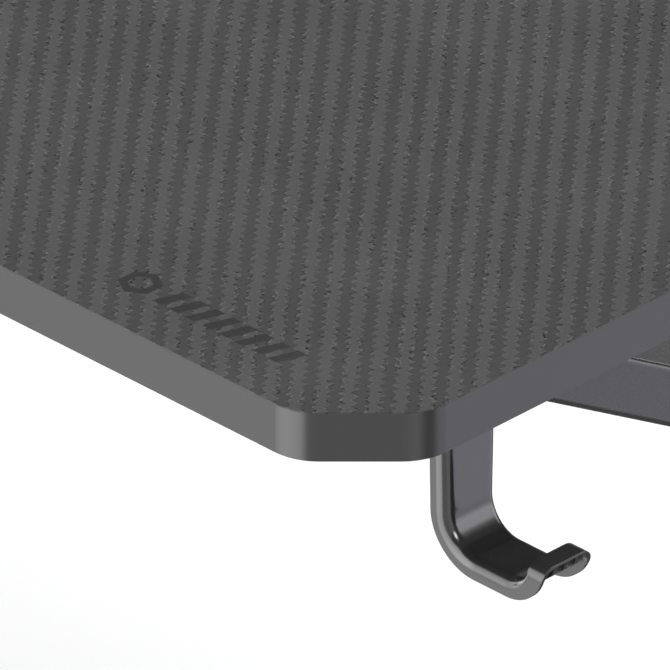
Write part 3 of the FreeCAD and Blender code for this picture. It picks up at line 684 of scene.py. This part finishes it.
@dataclass(frozen=True)
class ChipBoard(Finish):
    """Particle board, with a plain dark backing sheet on its underside."""

    backing: Colour = (0.055, 0.054, 0.053)

    def dress(self, sheet: NodeSheet, shader: bpy.types.Node, place: Socket) -> None:
        """Presses chips of several colours together, and covers the face that looks down."""
        do = sheet.math
        flat = sheet.vector("MULTIPLY", place, (1.0, 1.0, 2.4))
        chips = sheet.add("TexVoronoi", {"Vector": flat, "Scale": 0.55})
        light = sheet.xyz(chips.outputs["Color"])[0]
        wood = sheet.mix(light, self.colour, (0.30, 0.19, 0.105))
        dark = sheet.spread(sheet.noise(place, 1.6, 4.0), 0.55, 0.7)
        wood = sheet.mix(do("MULTIPLY", dark, 0.5), wood, (0.17, 0.11, 0.06))
        down = sheet.spread(sheet.xyz(sheet.add("NewGeometry").outputs["True Normal"])[2], -0.7, -0.9)
        paper = sheet.noise(place, 3.0, 4.0)
        mottle = sheet.rise(sheet.rise(sheet.noise(place, 0.02, 4.0), paper, 0.8), 0.62, 0.42)
        sheet.feed(shader.inputs["Base Color"], sheet.mix(down, wood, sheet.shade(self.backing, mottle)))
        rough = sheet.rise(down, self.rough, -0.28)
        sheet.feed(shader.inputs["Roughness"], sheet.rise(paper, rough, 0.08))
        depth = do("MULTIPLY", do("SUBTRACT", 1.0, down), chips.outputs["Distance"])
        self.bump(sheet, shader, sheet.rise(paper, depth, 0.15), 0.00012)


@dataclass(frozen=True)
class BeechDowel(Finish):
    """Unfinished beech with flecked rays and fluted sides."""

    def dress(self, sheet: NodeSheet, shader: bpy.types.Node, place: Socket) -> None:
        """Draws the grain along the dowel, with short dark rays."""
        do = sheet.math
        grain = sheet.noise(place, 1.0, 5.0, (0.3, 0.3, 3.0))
        ray = sheet.spread(sheet.noise(place, 2.4, 2.0, (0.35, 0.35, 1.6)), 0.6, 0.7)
        colour = sheet.mix(grain, self.colour, (0.50, 0.33, 0.19))
        colour = sheet.mix(do("MULTIPLY", ray, 0.5), colour, (0.33, 0.18, 0.09))
        sheet.feed(shader.inputs["Base Color"], colour)
        sheet.feed(shader.inputs["Roughness"], sheet.rise(grain, self.rough, 0.15))
        self.bump(sheet, shader, sheet.rise(ray, grain, -0.4), 0.00008)


@dataclass(frozen=True)
class HardRubber(Finish):
    """Black rubber with a sanded skin, scuffed and dusty near the floor."""

    def dress(self, sheet: NodeSheet, shader: bpy.types.Node, place: Socket) -> None:
        """Adds the skin, and floor dust that fades upwards."""
        do = sheet.math
        skin = sheet.noise(place, 4.0, 4.0)
        low = sheet.spread(sheet.xyz(place)[2], 5.0, 0.0)
        scuff = do("MULTIPLY", low, sheet.spread(sheet.noise(place, 0.35, 4.0), 0.4, 0.7))
        colour = sheet.mix(do("MULTIPLY", scuff, 0.4), sheet.mix(skin, self.colour, (0.045, 0.045, 0.045)),
                           (0.17, 0.16, 0.15))
        worn, rubbed = self.wear(sheet, place, colour, (0.11, 0.11, 0.11), 0.4, 0.0006)
        sheet.feed(shader.inputs["Base Color"], worn)
        rough = sheet.rise(rubbed, sheet.rise(skin, self.rough - 0.05, 0.1), 0.08)
        sheet.feed(shader.inputs["Roughness"], rough)
        self.bump(sheet, shader, skin, 0.00008)


@dataclass(frozen=True)
class StudioPaper(Finish):
    """The plain pale floor: seamless paper with a barely visible mottle."""

    def dress(self, sheet: NodeSheet, shader: bpy.types.Node, place: Socket) -> None:
        """Adds the paper's mottle and its tooth."""
        cloud = sheet.noise(place, 0.004, 3.0)
        tooth = sheet.noise(place, 1.2, 3.0)
        sheet.feed(shader.inputs["Base Color"], sheet.mix(cloud, self.colour, (0.90, 0.90, 0.905)))
        sheet.feed(shader.inputs["Roughness"], sheet.rise(tooth, self.rough - 0.03, 0.06))
        self.bump(sheet, shader, tooth, 0.00005)


class Slot(Enum):
    """The record's material slots, each with its finish."""

    TOP_FILM = TwillFilm(slot="top_film", rough=0.46, specular=0.30)
    EDGE_BAND = BandStrip(slot="edge_band", colour=(0.0285, 0.0285, 0.029), rough=0.24, specular=0.50)
    BOARD_CORE = ChipBoard(slot="board_core", colour=(0.46, 0.33, 0.20), rough=0.80, specular=0.30)
    FRAME_PAINT = PowderCoat(slot="frame_paint", colour=(0.0300, 0.0300, 0.0310), rough=0.27, specular=0.50)
    CAP_PLASTIC = GrainedPlastic(slot="cap_plastic", colour=(0.022, 0.022, 0.023), rough=0.50, specular=0.45)
    HOOK_PLASTIC = GlossMoulding(slot="hook_plastic", colour=(0.0190, 0.0190, 0.0197), rough=0.17,
                                 coat=0.35, coat_rough=0.08)
    PLATED_STEEL = ZincPlate(slot="plated_steel", colour=(0.58, 0.60, 0.62), rough=0.30, metallic=1.0)
    BLACK_FASTENERS = BlackOxide(slot="black_fasteners", colour=(0.024, 0.024, 0.025), rough=0.36,
                                 metallic=0.6)
    DOWEL_WOOD = BeechDowel(slot="dowel_wood", colour=(0.66, 0.48, 0.30), rough=0.62, specular=0.35)
    PAD_RUBBER = HardRubber(slot="pad_rubber", colour=(0.020, 0.020, 0.020), rough=0.66, specular=0.35)


# ---------------------------------------------------------------- mesh helpers
def lone(piece: bpy.types.Object) -> bpy.types.Object:
    """Makes a piece the only one selected, and the active one.

    Args:
        piece: the piece to work on.

    Returns:
        The same piece.
    """
    bpy.ops.object.select_all(action="DESELECT")
    piece.select_set(True)
    bpy.context.view_layer.objects.active = piece
    return piece


class Workpiece:
    """A mesh being shaped with the operators, as by hand."""

    def __init__(self, name: str) -> None:
        """Takes the primitive just added.

        Args:
            name: the piece's name.
        """
        self.piece = bpy.context.view_layer.objects.active
        self.piece.name = self.piece.data.name = name

    @classmethod
    def start(cls, name: str, primitive: Callable[..., set[str]], **options: object) -> "Workpiece":
        """Adds a primitive with nothing else selected.

        Args:
            name: the piece's name.
            primitive: the operator that adds it.
            **options: the operator's options.

        Returns:
            The workpiece.
        """
        bpy.ops.object.select_all(action="DESELECT")
        primitive(**options)
        return cls(name)

    def edit(self) -> None:
        """Goes into edit mode."""
        lone(self.piece)
        bpy.ops.object.mode_set(mode="EDIT")

    def leave(self) -> None:
        """Goes back to object mode."""
        bpy.ops.object.mode_set(mode="OBJECT")

    def pick(self, kind: str, test: Callable[[object], bool]) -> None:
        """Selects what passes a test, in edit mode.

        Args:
            kind: VERT, EDGE or FACE.
            test: tells of a bmesh vertex, edge or face whether it is wanted.
        """
        bpy.ops.mesh.select_mode(type=kind)
        bpy.ops.mesh.select_all(action="DESELECT")
        shape = bmesh.from_edit_mesh(self.piece.data)
        parts = {"VERT": shape.verts, "EDGE": shape.edges, "FACE": shape.faces}[kind]
        for part in [part for part in parts if test(part)]:
            part.select_set(True)
        shape.select_flush_mode()
        bmesh.update_edit_mesh(self.piece.data)

    def modify(self, kind: str, **settings: object) -> None:
        """Adds a modifier and applies it.

        Args:
            kind: the modifier's type.
            **settings: its settings.
        """
        lone(self.piece)
        made = self.piece.modifiers.new("step", kind)
        for name, value in settings.items():
            setattr(made, name, value)
        bpy.ops.object.modifier_apply(modifier=made.name)

    def outwards(self, merge: float = 0.0) -> None:
        """Merges doubles and turns the normals outwards.

        Args:
            merge: how near two points have to be to merge, in metres, or 0 for none.
        """
        self.edit()
        bpy.ops.mesh.select_all(action="SELECT")
        if merge:
            bpy.ops.mesh.remove_doubles(threshold=merge)
        bpy.ops.mesh.normals_make_consistent(inside=False)
        self.leave()

    def settle(self) -> None:
        """Puts the object at the origin with its place in its mesh."""
        lone(self.piece)
        bpy.ops.object.transform_apply(location=True, rotation=True, scale=True)

    def smooth(self, degrees: float = 35.0) -> None:
        """Shades smooth, apart from edges sharper than an angle."""
        lone(self.piece)
        bpy.ops.object.shade_smooth_by_angle(angle=math.radians(degrees))


def copy_of(piece: bpy.types.Object, name: str, move: Matrix) -> bpy.types.Object:
    """A copy with its own mesh, moved in its mesh.

    Args:
        piece: the piece to copy.
        name: the copy's name.
        move: where it goes.

    Returns:
        The copy.
    """
    copy = piece.copy()
    copy.data = piece.data.copy()
    copy.name = copy.data.name = name
    copy.data.transform(move)
    bpy.context.scene.collection.objects.link(copy)
    return copy


def joined(pieces: list[bpy.types.Object], name: str) -> bpy.types.Object:
    """Joins pieces into one.

    Args:
        pieces: the pieces.
        name: the name of the whole.

    Returns:
        The whole.
    """
    lone(pieces[0])
    for piece in pieces[1:]:
        piece.select_set(True)
    bpy.ops.object.join()
    whole = bpy.context.view_layer.objects.active
    whole.name = whole.data.name = name
    return whole


# ---------------------------------------------------------------- sub-assemblies
@dataclass
class SubAssembly:
    """Carried-over nodes with their finishes, and the pieces made here to go with them."""

    nodes: dict[str, Slot] = field(default_factory=dict)
    made: list[bpy.types.Object] = field(default_factory=list)

    def dress(self) -> None:
        """Gives each node its finish."""
        for name, slot in self.nodes.items():
            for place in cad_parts[name].material_slots:
                place.material = slot.value.material()
            log.info("dressed %s with %s", name, slot.value.slot)

    def build(self) -> None:
        """Models what the nodes lack. A plain sub-assembly lacks nothing."""

    def finish_piece(self, piece: bpy.types.Object, body: str, slot: Slot) -> None:
        """Dresses a new piece and sets it riding.

        Args:
            piece: the piece.
            body: the body that it moves with.
            slot: its finish.
        """
        piece.data.materials.clear()
        piece.data.materials.append(slot.value.material())
        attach(piece, body)
        self.made.append(piece)
        log.info("made %s: %d faces on %s", piece.name, len(piece.data.polygons), body)

    def run(self) -> None:
        """Dresses the nodes, then builds the rest."""
        self.dress()
        self.build()


@dataclass
class Desktop(SubAssembly):
    """The three boards, each a core under a film inside an edge band."""

    wings: tuple[str, ...] = ("right", "corner", "return")

    def __post_init__(self) -> None:
        """Lists each wing's three nodes."""
        for wing in self.wings:
            self.nodes[f"{wing}_board_core"] = Slot.BOARD_CORE
            self.nodes[f"{wing}_board_top_film"] = Slot.TOP_FILM
            self.nodes[f"{wing}_board_edge_band"] = Slot.EDGE_BAND


@dataclass
class BoardJoints(SubAssembly):
    """What joins the boards to each other and to the frame."""

    def __post_init__(self) -> None:
        """Lists the dowels, plates, inserts, bolts and screws."""
        self.nodes = {
            "seam_dowels": Slot.DOWEL_WOOD,
            "right_seam_plate": Slot.FRAME_PAINT,
            "return_seam_plate": Slot.FRAME_PAINT,
            "seam_plate_screws": Slot.BLACK_FASTENERS,
            "threaded_inserts": Slot.PLATED_STEEL,
            "desktop_bolts": Slot.BLACK_FASTENERS,
        }


@dataclass
class WeldBead:
    """One rippled weld bead, modelled once along X and copied to each seam."""

    length: float = 0.058
    radius: float = 0.0021
    ripple: float = 0.0019
    sides: int = 10
    tip: float = 0.6
    first: float = 1.6
    crest: float = 1.28
    rising: float = 0.45

    def model(self) -> bpy.types.Object:
        """Draws a ring out along the seam, narrow and wide by turns, and closes its ends.

        Returns:
            The bead, centred on the origin.
        """
        work = Workpiece.start("weld_bead", bpy.ops.mesh.primitive_circle_add, vertices=self.sides,
                               radius=self.radius * self.tip, fill_type="NOTHING",
                               location=(-self.length / 2, 0, 0), rotation=(0, math.pi / 2, 0))
        work.settle()
        work.edit()
        bpy.ops.mesh.select_all(action="SELECT")
        bpy.ops.mesh.edge_face_add()
        ripples = round(self.length / self.ripple)
        step = self.length / ripples
        for number in range(ripples):
            swell = self.first if number == 0 else self.crest
            shrink = self.tip if number == ripples - 1 else 1 / self.crest
            for share, grow in ((self.rising, swell), (1 - self.rising, shrink)):
                bpy.ops.mesh.extrude_region_move(TRANSFORM_OT_translate={"value": (step * share, 0, 0)})
                bpy.ops.transform.resize(value=(1, grow, grow))
        work.leave()
        work.outwards()
        work.smooth(60)
        return work.piece


@dataclass
class EndFrame(SubAssembly):
    """One wing's welded end frame, with beads where its tubes meet."""

    side: str = "right"

    def __post_init__(self) -> None:
        """Lists the tubes and their caps."""
        for part in ("top_rail", "upper_arm", "column", "lower_arm", "foot_rail"):
            self.nodes[f"{self.side}_{part}"] = Slot.FRAME_PAINT
        self.nodes[f"{self.side}_rail_end_caps"] = Slot.CAP_PLASTIC

    def seams(self) -> list[Vector]:
        """The middles of the seams that run across the tubes, in the desk's own directions.

        Returns:
            One point for each bead.
        """
        depth, inwards = (1, 1) if self.side == "right" else (0, -1)
        middle = (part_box(f"{self.side}_column")[0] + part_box(f"{self.side}_column")[1]) / 2
        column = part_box(f"{self.side}_column")
        upper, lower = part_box(f"{self.side}_upper_arm"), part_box(f"{self.side}_lower_arm")
        front, back = (corner[depth] for corner in column[::inwards])
        tip = upper[::inwards][0][depth]
        slant = ARM_SECTION / math.sin(ARM_SLOPE) * inwards
        thick = ARM_SECTION / math.cos(ARM_SLOPE)
        top, bottom = column[1].z, column[0].z
        spots = [(front, top), (back, top), (front, bottom), (back, bottom),
                 (tip, top), (tip + slant, top), (tip, bottom), (tip + slant, bottom),
                 (front, upper[0].z), (front, upper[0].z + thick),
                 (front, lower[1].z), (front, lower[1].z - thick)]
        points = []
        for along, height in spots:
            point = middle.copy()
            point[depth] = along
            point.z = height
            points.append(point)
        return points

    def build(self) -> None:
        """Copies the bead to each seam and joins the copies."""
        bead = WeldBead().model()
        turn = Matrix.Rotation(math.pi / 2, 4, "Z") if self.side != "right" else Matrix.Identity(4)
        beads = [copy_of(bead, f"{self.side}_weld_{number}", Matrix.Translation(point) @ turn)
                 for number, point in enumerate(self.seams())]
        bpy.data.objects.remove(bead)
        self.finish_piece(joined(beads, f"{self.side}_frame_weld_beads"), "desk", Slot.FRAME_PAINT)


@dataclass
class CornerPost(SubAssembly):
    """The square post in the corner, with its head plate, plug and beads along two sides of its top."""

    def __post_init__(self) -> None:
        """Lists the post's nodes."""
        self.nodes = {
            "corner_post": Slot.FRAME_PAINT,
            "corner_post_head_plate": Slot.FRAME_PAINT,
            "head_plate_screws": Slot.BLACK_FASTENERS,
            "corner_post_foot_plug": Slot.CAP_PLASTIC,
        }

    def build(self) -> None:
        """Puts a bead on the two sides of the post where its head plate reaches past it."""
        low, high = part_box("corner_post")
        bead = WeldBead(length=0.054).model()
        middle = (low + high) / 2
        quarter = Matrix.Rotation(math.pi / 2, 4, "Z")
        beads = [copy_of(bead, "post_weld_0", Matrix.Translation((middle.x, low.y, high.z))),
                 copy_of(bead, "post_weld_1", Matrix.Translation((low.x, middle.y, high.z)) @ quarter)]
        bpy.data.objects.remove(bead)
        self.finish_piece(joined(beads, "corner_post_weld_beads"), "desk", Slot.FRAME_PAINT)


@dataclass
class UnderBeams(SubAssembly):
    """The level beams under the boards, each with a bead down both sides of its end plates."""

    beams: tuple[str, ...] = ("rear_beam", "front_beam", "return_outer_beam", "return_inner_beam")

    def __post_init__(self) -> None:
        """Lists each beam and its end plates, and what bolts them on."""
        for beam in self.beams:
            self.nodes[beam] = Slot.FRAME_PAINT
            self.nodes[f"{beam}_end_plates"] = Slot.FRAME_PAINT
        self.nodes["frame_bolts"] = Slot.BLACK_FASTENERS
        self.nodes["frame_rivet_nuts"] = Slot.PLATED_STEEL

    def build(self) -> None:
        """Copies an upright bead to the corners where each beam meets its plates."""
        bead = WeldBead(length=0.015, radius=0.0017).model()
        upright = Matrix.Rotation(math.pi / 2, 4, "Y")
        beads = []
        for beam in self.beams:
            low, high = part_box(beam)
            middle = (low + high) / 2
            along = 0 if high.x - low.x > high.y - low.y else 1
            for end in (low, high):
                for edge in (low, high):
                    point = middle.copy()
                    point[along] = end[along]
                    point[1 - along] = edge[1 - along]
                    beads.append(copy_of(bead, f"beam_weld_{len(beads)}",
                                         Matrix.Translation(point) @ upright))
        bpy.data.objects.remove(bead)
        self.finish_piece(joined(beads, "beam_weld_beads"), "desk", Slot.FRAME_PAINT)


@dataclass
class LevellingFoot(SubAssembly):
    """One foot: a rubber pad, and a stud with a real thread in place of the plain one."""

    place: str = "corner"
    pitch: float = 0.00125
    major: float = 0.004
    minor: float = 0.00335
    steps: int = 20
    collar_high: float = 0.005
    collar_flats: float = 0.015
    collar_gap: float = 0.0003
    collar_inset: float = 0.0011
    collar_bevel: float = 0.0006
    crest: tuple[float, float] = (0.42, 0.58)
    half: float = 0.001
    near: float = 1e-6
    lift: float = 1e-7
    trim: float = 1e-5

    def __post_init__(self) -> None:
        """Lists the pad and the plain stud."""
        self.nodes = {f"{self.place}_foot_pad": Slot.PAD_RUBBER, f"{self.place}_foot_stud": Slot.PLATED_STEEL}

    def thread(self, low: Vector, high: Vector) -> Workpiece:
        """Turns one tooth's outline into a thread, and cuts its ends flat.

        Args:
            low: the stud's lowest corner.
            high: its highest corner.

        Returns:
            The threaded rod.
        """
        middle = (low + high) / 2
        tall = high.z - low.z
        turns = math.ceil(tall / self.pitch) + 2
        work = Workpiece.start("thread", bpy.ops.mesh.primitive_plane_add, size=2 * self.half)
        work.edit()
        bpy.ops.mesh.delete(type="ONLY_FACE")
        work.pick("EDGE", lambda edge: all(v.co.y < 0 for v in edge.verts))
        bpy.ops.mesh.delete(type="EDGE")
        outline = {(-1, -1): (self.minor, 0.0), (-1, 1): (self.major, self.crest[0]),
                   (1, 1): (self.major, self.crest[1]), (1, -1): (self.minor, 1.0)}
        for (x, y), (radius, share) in outline.items():
            start = Vector((x * self.half, y * self.half, 0.0))
            work.pick("VERT", lambda v: (v.co - start).length < self.near)
            bpy.ops.transform.translate(value=(radius - start.x, -start.y,
                                               share * self.pitch + self.lift))
        work.leave()
        work.modify("SCREW", axis="Z", angle=2 * math.pi, screw_offset=self.pitch, iterations=turns,
                    steps=self.steps, render_steps=self.steps, use_merge_vertices=True,
                    merge_threshold=self.near)
        work.piece.location = (middle.x, middle.y, low.z - self.pitch)
        work.settle()
        work.outwards(self.near)
        work.edit()
        for height, above in ((high.z - self.trim, True), (low.z + self.trim, False)):
            bpy.ops.mesh.select_all(action="SELECT")
            bpy.ops.mesh.bisect(plane_co=(middle.x, middle.y, height), plane_no=(0, 0, 1), use_fill=True,
                                clear_outer=above, clear_inner=not above)
        work.leave()
        work.outwards()
        work.smooth(25)
        return work

    def collar(self, low: Vector, high: Vector) -> Workpiece:
        """The hexagon that a spanner turns, with its corners rounded off.

        Args:
            low: the stud's lowest corner.
            high: its highest corner.

        Returns:
            The collar.
        """
        middle = (low + high) / 2
        reach = self.collar_flats / math.sqrt(3)
        sleeve_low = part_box("foot_threaded_sleeves")[0].z
        centre = sleeve_low - self.collar_gap - self.collar_high / 2
        work = Workpiece.start("collar", bpy.ops.mesh.primitive_cylinder_add, vertices=6,
                               radius=reach, depth=self.collar_high,
                               location=(middle.x, middle.y, centre), rotation=(0, 0, math.pi / 6))
        work.settle()
        work.edit()
        work.pick("FACE", lambda face: abs(face.normal.z) > 0.9)
        bpy.ops.mesh.inset(thickness=self.collar_inset, depth=0.0)
        work.pick("EDGE", lambda edge: abs(edge.verts[0].co.z - edge.verts[1].co.z) < self.near
                  and all((v.co.xy - middle.xy).length > reach - 10 * self.trim for v in edge.verts))
        bpy.ops.mesh.bevel(offset=self.collar_bevel, segments=2, profile=0.5)
        work.leave()
        work.outwards()
        work.smooth(40)
        return work

    def build(self) -> None:
        """Joins the thread and the collar, and puts them in the plain stud's place."""
        stud = f"{self.place}_foot_stud"
        low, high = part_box(stud)
        parts = [self.thread(low, high).piece, self.collar(low, high).piece]
        whole = joined(parts, f"{self.place}_threaded_stud")
        self.finish_piece(whole, f"{self.place}_foot", Slot.PLATED_STEEL)
        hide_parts(stud)


@dataclass
class FootSleeves(SubAssembly):
    """The threaded sleeves that the studs screw into."""

    def __post_init__(self) -> None:
        """Lists the sleeves."""
        self.nodes = {"foot_threaded_sleeves": Slot.PLATED_STEEL}


@dataclass
class HeadphoneHook(SubAssembly):
    """The hook under the right board and its two screws."""

    def __post_init__(self) -> None:
        """Lists the hook and its screws."""
        self.nodes = {"headphone_hook": Slot.HOOK_PLASTIC, "hook_screws": Slot.BLACK_FASTENERS}


# ---------------------------------------------------------------- studio
@dataclass(frozen=True)
class SoftBox:
    """One soft light."""

    name: str
    spot: tuple[float, float, float]
    aim: tuple[float, float, float]
    size: tuple[float, float]
    power: float
    colour: Colour = (1.0, 1.0, 1.0)

    def hang(self) -> None:
        """Hangs the light and turns it to its aim. Glossy surfaces mirror the panels, and not the light."""
        bpy.ops.object.light_add(type="AREA", location=self.spot)
        lamp = bpy.context.view_layer.objects.active
        lamp.name = self.name
        lamp.data.shape = "RECTANGLE"
        lamp.data.size, lamp.data.size_y = self.size
        lamp.data.energy = self.power
        lamp.data.color = self.colour
        lamp.visible_glossy = False
        lamp.rotation_mode = "QUATERNION"
        lamp.rotation_quaternion = (Vector(self.aim) - Vector(self.spot)).to_track_quat("-Z", "Y")


@dataclass(frozen=True)
class TallPanel:
    """A tall soft panel far away, which only shows as gloss; a dark one has a strength below zero."""

    azimuth: float
    half_width: float
    soft: float
    strength: float
    low: float = -0.72
    high: float = 0.60
    fade: float = 0.10
    colour: Colour = (1.0, 1.0, 1.0)

    def glow(self, sheet: NodeSheet, direction: Socket) -> Socket:
        """The panel's light in a direction.

        Args:
            sheet: the surroundings' sheet.
            direction: the direction looked in.

        Returns:
            Its colour times its strength there.
        """
        flat = sheet.vector("NORMALIZE", sheet.vector("MULTIPLY", direction, (1.0, 1.0, 0.0)))
        turn = math.radians(self.azimuth)
        facing = sheet.vector("DOT_PRODUCT", flat, (math.cos(turn), math.sin(turn), 0.0))
        outer, inner = (math.cos(math.radians(self.half_width + side * self.soft)) for side in (1, -1))
        height = sheet.xyz(direction)[2]
        share = sheet.math("MULTIPLY", sheet.spread(facing, outer, inner),
                           sheet.spread(height, self.low - self.fade, self.low + self.fade))
        share = sheet.math("MULTIPLY", share,
                           sheet.spread(height, self.high + self.fade, self.high - self.fade))
        return sheet.mix(share, (0, 0, 0), tuple(part * self.strength for part in self.colour))


@dataclass
class Studio:
    """The plain floor, the soft lights, the pale surroundings and the camera."""

    target: tuple[float, float, float] = CAMERA_TARGET
    azimuth: float = 45.0
    elevation: float = 30.0
    frame_width: float = 0.2134
    lens: float = 1400.0
    sensor: float = 36.0
    floor_half: float = 30.0
    ambient: float = 0.80
    gloss_floor: float = 0.21
    lights: tuple[SoftBox, ...] = (
        SoftBox("overhead_softbox", (0.0, 0.3, 3.6), (0.0, 0.3, 0.0), (3.6, 3.6), 100.0),
        SoftBox("left_softbox", (-2.6, -3.0, 2.2), (0.2, 0.0, 0.6), (2.4, 2.2), 45.0),
        SoftBox("right_softbox", (3.4, 2.6, 2.0), (0.2, 0.0, 0.6), (2.2, 2.0), 35.0),
    )
    panels: tuple[TallPanel, ...] = (
        TallPanel(azimuth=-165.0, half_width=35.0, soft=5.0, strength=1.76),
        TallPanel(azimuth=-100.6, half_width=25.4, soft=7.0, strength=4.25),
        TallPanel(azimuth=-150.0, half_width=55.0, soft=10.0, strength=1.6, low=-0.25, high=0.40),
        TallPanel(azimuth=-40.0, half_width=36.0, soft=6.0, strength=0.82, high=0.30,
                  colour=(1.02, 0.99, 1.0)),
        TallPanel(azimuth=-19.0, half_width=8.0, soft=7.0, strength=0.40),
        TallPanel(azimuth=-22.0, half_width=9.0, soft=5.0, strength=16.0, low=0.42, high=0.62),
        TallPanel(azimuth=49.0, half_width=27.0, soft=6.0, strength=1.25, low=-0.59, high=0.45, fade=0.06,
                  colour=(0.98, 0.98, 1.13)),
        TallPanel(azimuth=49.0, half_width=27.0, soft=6.0, strength=2.0, low=-0.12, high=0.52, fade=0.16),
        TallPanel(azimuth=117.0, half_width=5.0, soft=3.0, strength=1.6, low=-0.22, high=0.15),
        TallPanel(azimuth=108.0, half_width=20.0, soft=6.0, strength=-0.15, high=-0.34, fade=0.06),
        TallPanel(azimuth=135.0, half_width=30.0, soft=6.0, strength=0.20, low=0.25),
    )

    def floor(self) -> None:
        """Lays a wide flat sheet of pale paper, which glossy surfaces do not mirror."""
        work = Workpiece.start("studio_floor", bpy.ops.mesh.primitive_grid_add, x_subdivisions=12,
                               y_subdivisions=12, size=2 * self.floor_half)
        work.settle()
        finish = StudioPaper(slot="studio_floor", colour=(0.88, 0.88, 0.885), rough=0.85, specular=0.2)
        work.piece.data.materials.append(finish.material())
        work.piece.visible_glossy = False

    def surroundings(self) -> None:
        """Makes the surroundings white to look at, even as a light, and panelled in what reflects them."""
        world = bpy.data.worlds.new("studio")
        bpy.context.scene.world = world
        world.use_nodes = True
        world.node_tree.nodes.clear()
        sheet = NodeSheet(world.node_tree)
        ray = sheet.add("LightPath").outputs
        direction = sheet.add("TexCoord").outputs["Generated"]
        glow = sheet.add("CombineColor", dict.fromkeys(range(3), self.gloss_floor)).outputs[0]
        for panel in self.panels:
            glow = sheet.mix(1.0, glow, panel.glow(sheet, direction), "ADD")
        light = sheet.add("Background", {"Color": (1, 1, 1, 1), "Strength": self.ambient}).outputs[0]
        gloss = sheet.add("Background", {"Color": glow, "Strength": 1.0}).outputs[0]
        white = sheet.add("Background", {"Color": (1, 1, 1, 1), "Strength": 1.0}).outputs[0]
        mixed = sheet.add("MixShader", {0: ray["Is Glossy Ray"], 1: light, 2: gloss}).outputs[0]
        mixed = sheet.add("MixShader", {0: ray["Is Camera Ray"], 1: mixed, 2: white}).outputs[0]
        end = sheet.add("OutputWorld")
        sheet.feed(end.inputs["Surface"], mixed)

    def camera(self) -> None:
        """Sets up the camera: so long a lens that parallel edges stay parallel."""
        turn, lift = math.radians(self.azimuth), math.radians(self.elevation)
        back = Vector((math.sin(turn) * math.cos(lift), -math.cos(turn) * math.cos(lift), math.sin(lift)))
        away = self.frame_width * self.lens / self.sensor
        bpy.ops.object.camera_add(location=Vector(self.target) + back * away)
        camera = bpy.context.view_layer.objects.active
        camera.name = "studio_camera"
        camera.data.sensor_width = self.sensor
        camera.data.lens = self.lens
        camera.data.clip_start, camera.data.clip_end = 0.5, 60.0
        camera.rotation_mode = "QUATERNION"
        camera.rotation_quaternion = (-back).to_track_quat("-Z", "Y")
        bpy.context.scene.camera = camera

    def set_up(self) -> None:
        """Builds the whole studio."""
        self.camera()
        self.floor()
        self.surroundings()
        for light in self.lights:
            light.hang()
        bpy.context.scene.view_settings.view_transform = "Standard"


def main() -> None:
    """Builds each sub-assembly in order, then the studio."""
    feet = [LevellingFoot(place=place)
            for place in ("right_front", "right_back", "return_inner", "return_outer", "corner")]
    assemblies: list[SubAssembly] = [
        Desktop(), BoardJoints(), EndFrame(side="right"), EndFrame(side="return"), CornerPost(), UnderBeams(),
        FootSleeves(), *feet, HeadphoneHook()]
    for assembly in assemblies:
        assembly.run()
    Studio().set_up()
    bpy.ops.object.select_all(action="DESELECT")
    missed = sorted(set(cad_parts) - {name for assembly in assemblies for name in assembly.nodes})
    log.info("%d nodes dressed, %d pieces made, %d nodes missed", len(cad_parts) - len(missed),
             sum(len(assembly.made) for assembly in assemblies), len(missed))


if __name__ == "__main__":
    main()
